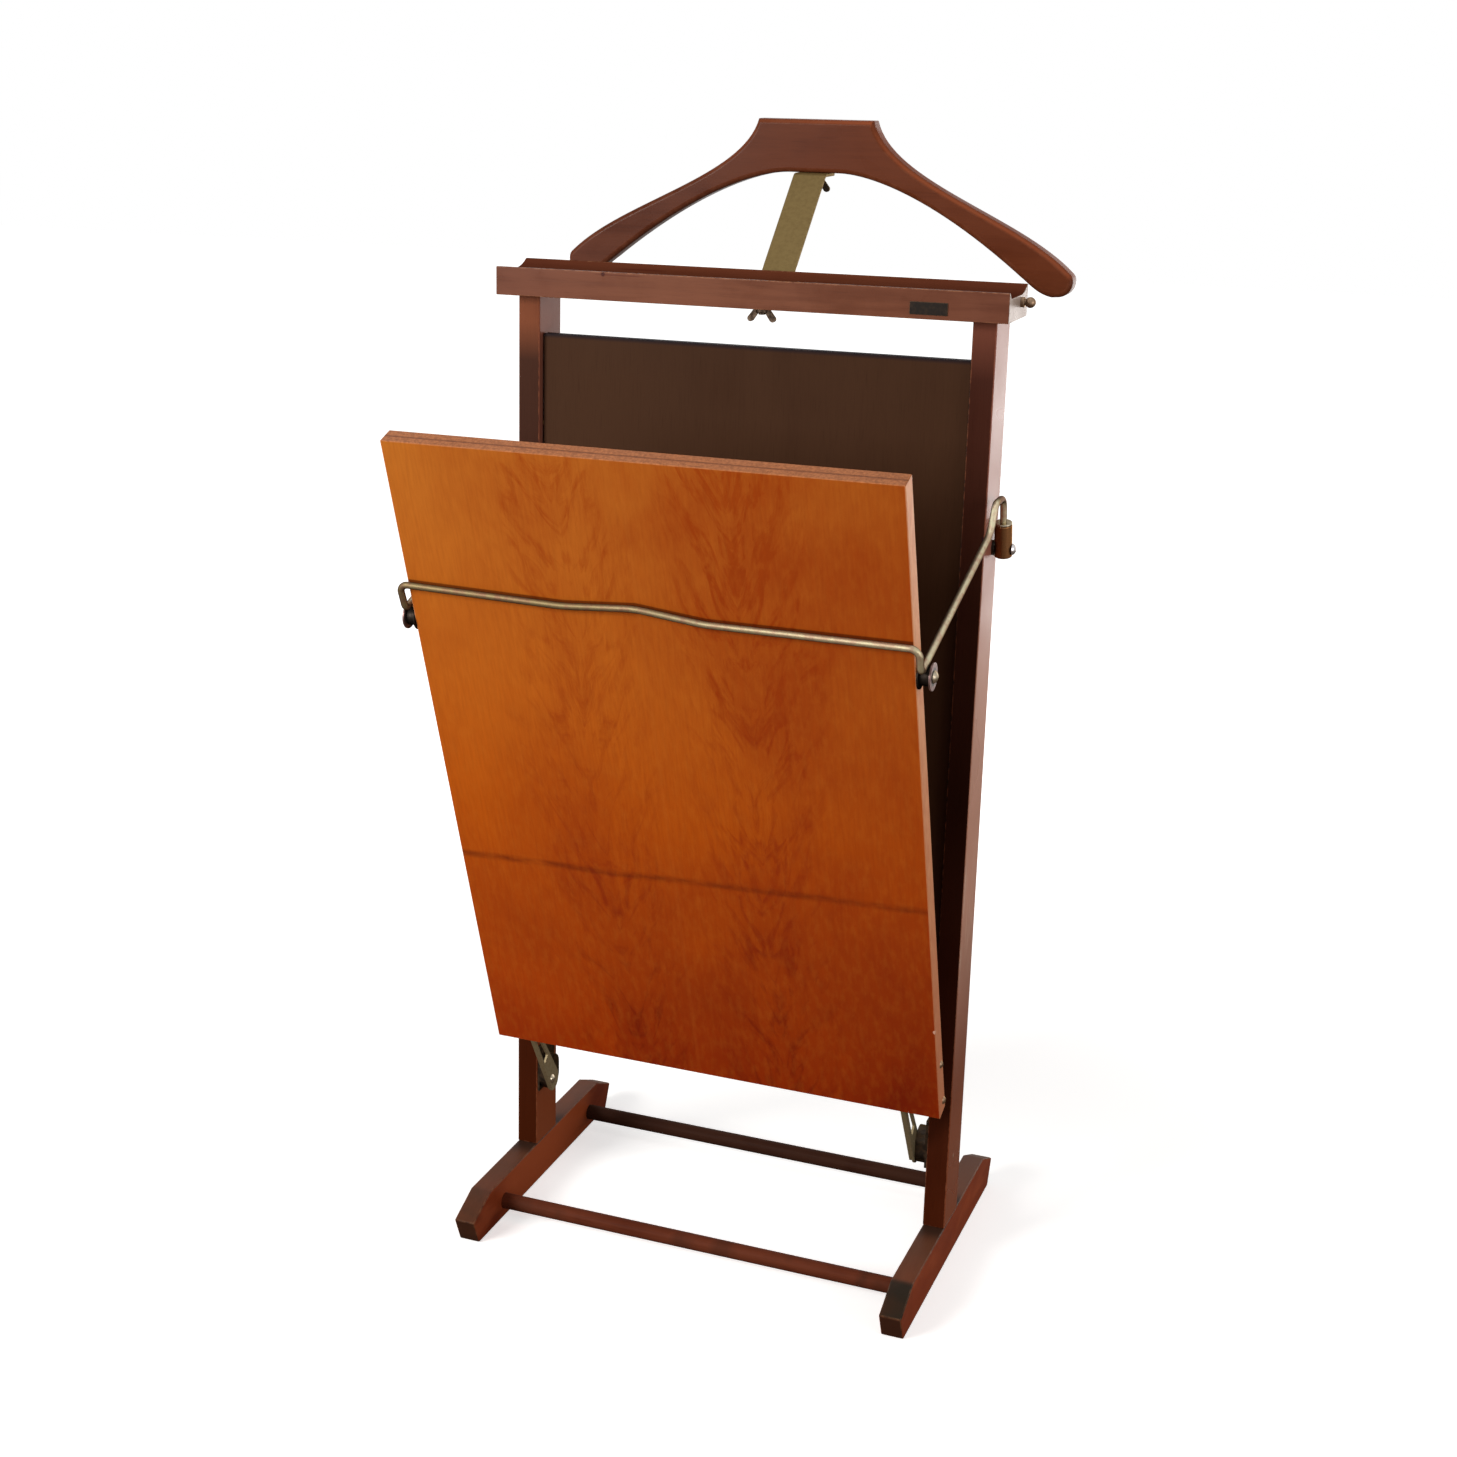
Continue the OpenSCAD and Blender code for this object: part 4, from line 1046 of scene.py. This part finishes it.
def make_wing_nut(name, body, bolt, top, material):
    """Round nut with two upright wings that hang below it, on the bolt named."""
    y = middle(*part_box(bolt)).y
    nut_r = 5.5 * MM
    nut_h = 6 * MM
    half = 1.3 * MM
    bm = bmesh.new()
    for side in (-1, 1):
        outline = [(side * u, top + v) for u, v in wing_outline()]
        prism_into(bm, outline, along_y, y - half, y + half)
    round_edges(bm, 0.7 * MM, segments=2, least_angle=40)
    lathe_into(bm, rounded_disc(nut_r, top - nut_h, top, 0.8 * MM), Matrix.Translation((0, y, 0)))
    belongs(add_object(name + "_cast", bm), body, "nut_metal", material, name)


def make_roller(side, material):
    flange_r = (roller_high.z - roller_low.z) / 2
    flange_x = roller_low.x + 1.5 * MM
    profile = rounded_disc(flange_r, roller_low.x, flange_x, 0.5 * MM)[:-1]
    profile += rounded_disc(HUB_R, flange_x, roller_high.x, 0.6 * MM)[2:]
    bm = bmesh.new()
    lathe_into(bm, profile, side_axis(side, ROLLER), 48)
    name = side_name("roller", side)
    body = "left_roller" if side < 0 else "right_roller"
    belongs(add_object(name + "_spool", bm), body, "dark_metal", material, name)


def make_roller_ends(washer_material, screw_material):
    washers = bmesh.new()
    screws = bmesh.new()
    radius = (washer_high.z - washer_low.z) / 2
    head_r = (screw_high.z - screw_low.z) / 2
    start = washer_high.x
    for side in (-1, 1):
        matrix = side_axis(side, ROLLER)
        lathe_into(washers, rounded_disc(radius, start - 1.5 * MM, start, 0.4 * MM), matrix, 56)
        lathe_into(screws, dome(head_r, screw_high.x - start, start), matrix)
    pair = add_object("roller_washer_pair", washers)
    belongs(pair, "board", "washer_metal", washer_material, "roller_washers")
    heads = add_object("roller_screw_heads", screws)
    belongs(heads, "board", "bright_metal", screw_material, "roller_screws")


def sleeve_axis(side):
    """Matrix whose local Z runs up the sleeve on that side, from the bail's pivot."""
    turn = Matrix.Rotation(SLEEVE_LEAN, 4, "X")
    return Matrix.Translation((side * BAIL_X, PIVOT.y, PIVOT.z)) @ turn


def make_sleeves(sleeve_material, ring_material):
    rings = bmesh.new()
    for side in (-1, 1):
        bm = bmesh.new()
        lathe_into(bm, rounded_disc(SLEEVE_R, SLEEVE_LOW, RING_LOW, 0.9 * MM), sleeve_axis(side))
        lathe_into(rings, rounded_disc(SLEEVE_R, RING_LOW, RING_HIGH, 0.8 * MM), sleeve_axis(side))
        name = side_name("bail_sleeve", side)
        belongs(add_object(name + "_tube", bm), "sleeves", "sleeve_metal", sleeve_material, name)
    pair = add_object("sleeve_cap_rings", rings)
    belongs(pair, "sleeves", "bright_metal", ring_material, "sleeve_caps")


SPRING_LOW = 8.85 * MM
SPRING_HIGH = 21.65 * MM
COIL_R = 4.45 * MM
COIL_WIRE_R = 0.55 * MM
COIL_TURNS = 5


def coil_into(bm, matrix):
    """Round wire wound about the local Z axis, its middle line from SPRING_LOW to SPRING_HIGH."""
    steps = 24 * COIL_TURNS
    around = 8
    rings = []
    for i in range(steps + 1):
        a = 2 * math.pi * COIL_TURNS * i / steps
        out = Vector((math.cos(a), math.sin(a), 0))
        climb = (SPRING_HIGH - SPRING_LOW) * i / steps
        centre = out * COIL_R + Vector((0, 0, SPRING_LOW + climb))
        ring = []
        for k in range(around):
            b = 2 * math.pi * k / around
            offset = (out * math.cos(b) + Vector((0, 0, math.sin(b)))) * COIL_WIRE_R
            ring.append(bm.verts.new(matrix @ (centre + offset)))
        rings.append(ring)
    for first, second in zip(rings, rings[1:]):
        join_rings(bm, first, second)
    bm.faces.new(rings[0])
    bm.faces.new(rings[-1])


def make_springs(material):
    """A coil in each sleeve, held at the ring; the real spring shortens as the wire is pulled out."""
    bm = bmesh.new()
    for side in (-1, 1):
        coil_into(bm, sleeve_axis(side))
    piece = add_object("bail_spring_coils", bm)
    belongs(piece, "sleeves", "washer_metal", material, "bail_springs")
    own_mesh(piece)


def make_pivot_heads(material):
    head_r = (pivot_high.z - pivot_low.z) / 2
    head_h = 3.4 * MM
    bm = bmesh.new()
    for side in (-1, 1):
        lathe_into(bm, dome(head_r, head_h, pivot_high.x - head_h), side_axis(side, PIVOT))
    belongs(add_object("pivot_screw_heads", bm), "stand", "bright_metal", material, "pivot_screws")


def make_knob(side, material):
    """Small turned knob: a foot, a short neck and a ball."""
    foot_h = 3 * MM
    ball_r = 4.5 * MM
    profile = rounded_disc(4.2 * MM, -0.5 * MM, foot_h, 0.7 * MM)[:-1]
    profile += [(2.6 * MM, foot_h), (2.5 * MM, foot_h + 1 * MM)]
    for angle in range(30, 180, 15):
        a = math.radians(angle)
        profile.append((ball_r * math.sin(a), foot_h + ball_r - ball_r * math.cos(a)))
    profile.append((0, foot_h + 2 * ball_r))
    bm = bmesh.new()
    lathe_into(bm, profile, side_axis(side, middle(knob_low, knob_high), rail_high.x))
    name = side_name("rail_knob", side)
    belongs(add_object(name + "_turned", bm), "stand", "dark_metal", material, name)


def make_label(material):
    bm = bmesh.new()
    outline = box_outline(label_low.x, label_low.z, label_high.x, label_high.z)
    prism_into(bm, outline, along_y, label_low.y, label_high.y + 0.2 * MM)
    round_edges(bm, 0.35 * MM, segments=2)
    belongs(add_object("label_plate_bare", bm), "stand", "label", material, "label_plate")


def make_plugs(material):
    """Flat bolt heads in the posts' outer faces, a hair proud of the wood."""
    profile = rounded_disc(2.6 * MM, post_high.x - 2 * MM, post_high.x + 0.25 * MM, 0.4 * MM)
    bm = bmesh.new()
    for side in (-1, 1):
        lathe_into(bm, profile, side_axis(side, middle(bolt_low, bolt_high)))
    belongs(add_object("post_plugs", bm), "stand", "dark_metal", material, "bracket_bolts")


def paint_nodes(material, *names):
    """Gives CAD nodes that keep their own shape a material."""
    for name in names:
        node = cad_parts[name]
        for index in range(len(node.material_slots)):
            node.material_slots[index].material = material


# Stage and light

FLOOR_HALF = 9
FLOOR_GAP = 0.5 * MM


def make_stage():
    """Pale floor that fades into the white around it; bounced light and metal see it darker near by."""
    bm = bmesh.new()
    bmesh.ops.create_grid(bm, x_segments=1, y_segments=1, size=FLOOR_HALF)
    floor = add_object("floor", bm)
    floor.location.z = -FLOOR_GAP
    graph = Graph("floor_pale")
    seen = graph.ray_kind("Is Camera Ray")
    mirrored = graph.ray_kind("Is Glossy Ray", "Is Transmission Ray")
    graph.give("Base Color", graph.mix(seen, (0.3, 0.25, 0.21, 1), (0.9, 0.9, 0.9, 1)))
    graph.give("Roughness", 0.9)
    graph.give("Specular IOR Level", 0)
    away = graph.distance((0, 0, 0))
    far = graph.remap(away, 0.45, 1.5, 0.55, 1, smooth=True)
    further = graph.remap(away, 1.2, 4.5, 0, 1, smooth=True)
    glow = graph.plus(graph.times(seen, far), graph.times(mirrored, further))
    graph.give("Emission Color", (1, 1, 1, 1))
    graph.give("Emission Strength", glow)
    floor.data.materials.append(graph.material)


def area_light(name, place, target, size, power, tint):
    data = bpy.data.lights.new(name, "AREA")
    data.shape = "SQUARE"
    data.size = size
    data.energy = power
    data.color = tint
    lamp = bpy.data.objects.new(name, data)
    lamp.location = place
    away = Vector(place) - Vector(target)
    lamp.rotation_euler = away.to_track_quat("Z", "Y").to_euler()
    lamp.visible_camera = False
    bpy.context.scene.collection.objects.link(lamp)


def make_light():
    area_light("key", (-1.5, -2.4, 1.5), (0, 0, 0.6), size=1.2, power=82, tint=(1, 0.97, 0.93))
    area_light("side", (0.95, 2.3, 0.78), (0.2, 0, 0.7), size=1.6, power=19, tint=(1, 0.92, 0.88))
    area_light("fill", (2.5, -0.9, 0.9), (0, 0, 0.5), size=1.4, power=20, tint=(1, 0.96, 0.93))
    area_light("top", (0.2, -0.2, 2.8), (0, 0, 0.5), size=1.2, power=5, tint=(1, 1, 1))
    world = bpy.data.worlds.new("studio")
    bpy.context.scene.world = world
    world.use_nodes = True
    tree = Tree(world.node_tree)
    dim = tree.node("Background", {"Color": (1, 0.98, 0.96, 1), "Strength": 0.25})
    white = tree.node("Background", {"Color": (1, 1, 1, 1), "Strength": 1})
    seen = tree.ray_kind("Is Camera Ray", "Is Glossy Ray", "Is Transmission Ray")
    ends = {1: dim.outputs["Background"], 2: white.outputs["Background"]}
    chosen = tree.node("MixShader", {"Fac": seen, **ends})
    tree.put(world.node_tree.nodes["World Output"].inputs["Surface"], chosen.outputs["Shader"])


# Assembly

make_camera()
bpy.context.scene.view_settings.view_transform = "Standard"

foot_material = foot_wood()
post_material = post_wood()
for side in (-1, 1):
    make_foot(side, foot_material)
    make_post(side, post_material)
make_rail(rail_wood())
make_panel(panel_wood())
make_board(board_wood())
make_hanger(hanger_wood())

dark_metal = metal("dark_metal", colour(58, 50, 44), colour(96, 74, 54), rough=0.4)
bright_metal = metal("bright_metal", colour(176, 166, 146), colour(110, 94, 74), rough=0.26)
dull_metal = metal("dull_metal", colour(142, 118, 96), colour(96, 72, 54), rough=0.4)
roller_metal = metal(
    "roller_metal", colour(46, 40, 36), colour(28, 24, 21), rough=0.5, rim=(0.12, 0.1, 0.09, 1)
)
steel_metal = metal("steel_metal", colour(200, 198, 200), colour(134, 122, 116), rough=0.24, amount=0.4)
wire_metal = wire_finish()
strap_metal = metal(
    "strap_metal", colour(116, 97, 60), colour(98, 80, 50), rough=0.48, amount=0.3, metallic=0.7, bump=0.02
)
arm_metal = metal(
    "arm_metal", colour(150, 136, 106), colour(112, 98, 72), rough=0.46, amount=0.4, metallic=0.7
)
nut_metal = metal("nut_metal", colour(92, 78, 66), colour(52, 42, 36), rough=0.45, amount=0.7)
sleeve_metal = metal("sleeve_metal", colour(138, 96, 62), colour(92, 62, 40), rough=0.36)
washer_metal = washer_finish()
plug_metal = metal("plug_metal", colour(150, 106, 84), colour(112, 78, 60), rough=0.5, metallic=0.2)

make_wire(wire_metal)
make_strap(strap_metal)
make_wing_nut("rail_wing_nut", "rail_nut", "rail_bolt", strap_low.z, nut_metal)
make_wing_nut("hanger_wing_nut", "hanger_nut", "hanger_bolt", nut_high.z, nut_metal)
for side in (-1, 1):
    make_roller(side, roller_metal)
    make_knob(side, dull_metal)
make_roller_ends(washer_metal, bright_metal)
make_sleeves(sleeve_metal, bright_metal)
make_pivot_heads(steel_metal)
make_label(label_finish())
make_plugs(plug_metal)

paint_nodes(stretcher_wood(), "stretcher_front", "stretcher_rear")
paint_nodes(dowel_wood(), "frame_dowels", "panel_dowels")
paint_nodes(dark_metal, "hinge_bracket_left", "hinge_bracket_right", "pivot_washers")
paint_nodes(arm_metal, "hinge_arm_left", "hinge_arm_right")
paint_nodes(bright_metal, "hinge_pins")
paint_nodes(dull_metal, "arm_screws")
paint_nodes(nut_metal, "rail_bolt", "hanger_bolt", "bracket_screws", "wire_end_nuts")
make_springs(washer_metal)

make_stage()
make_light()
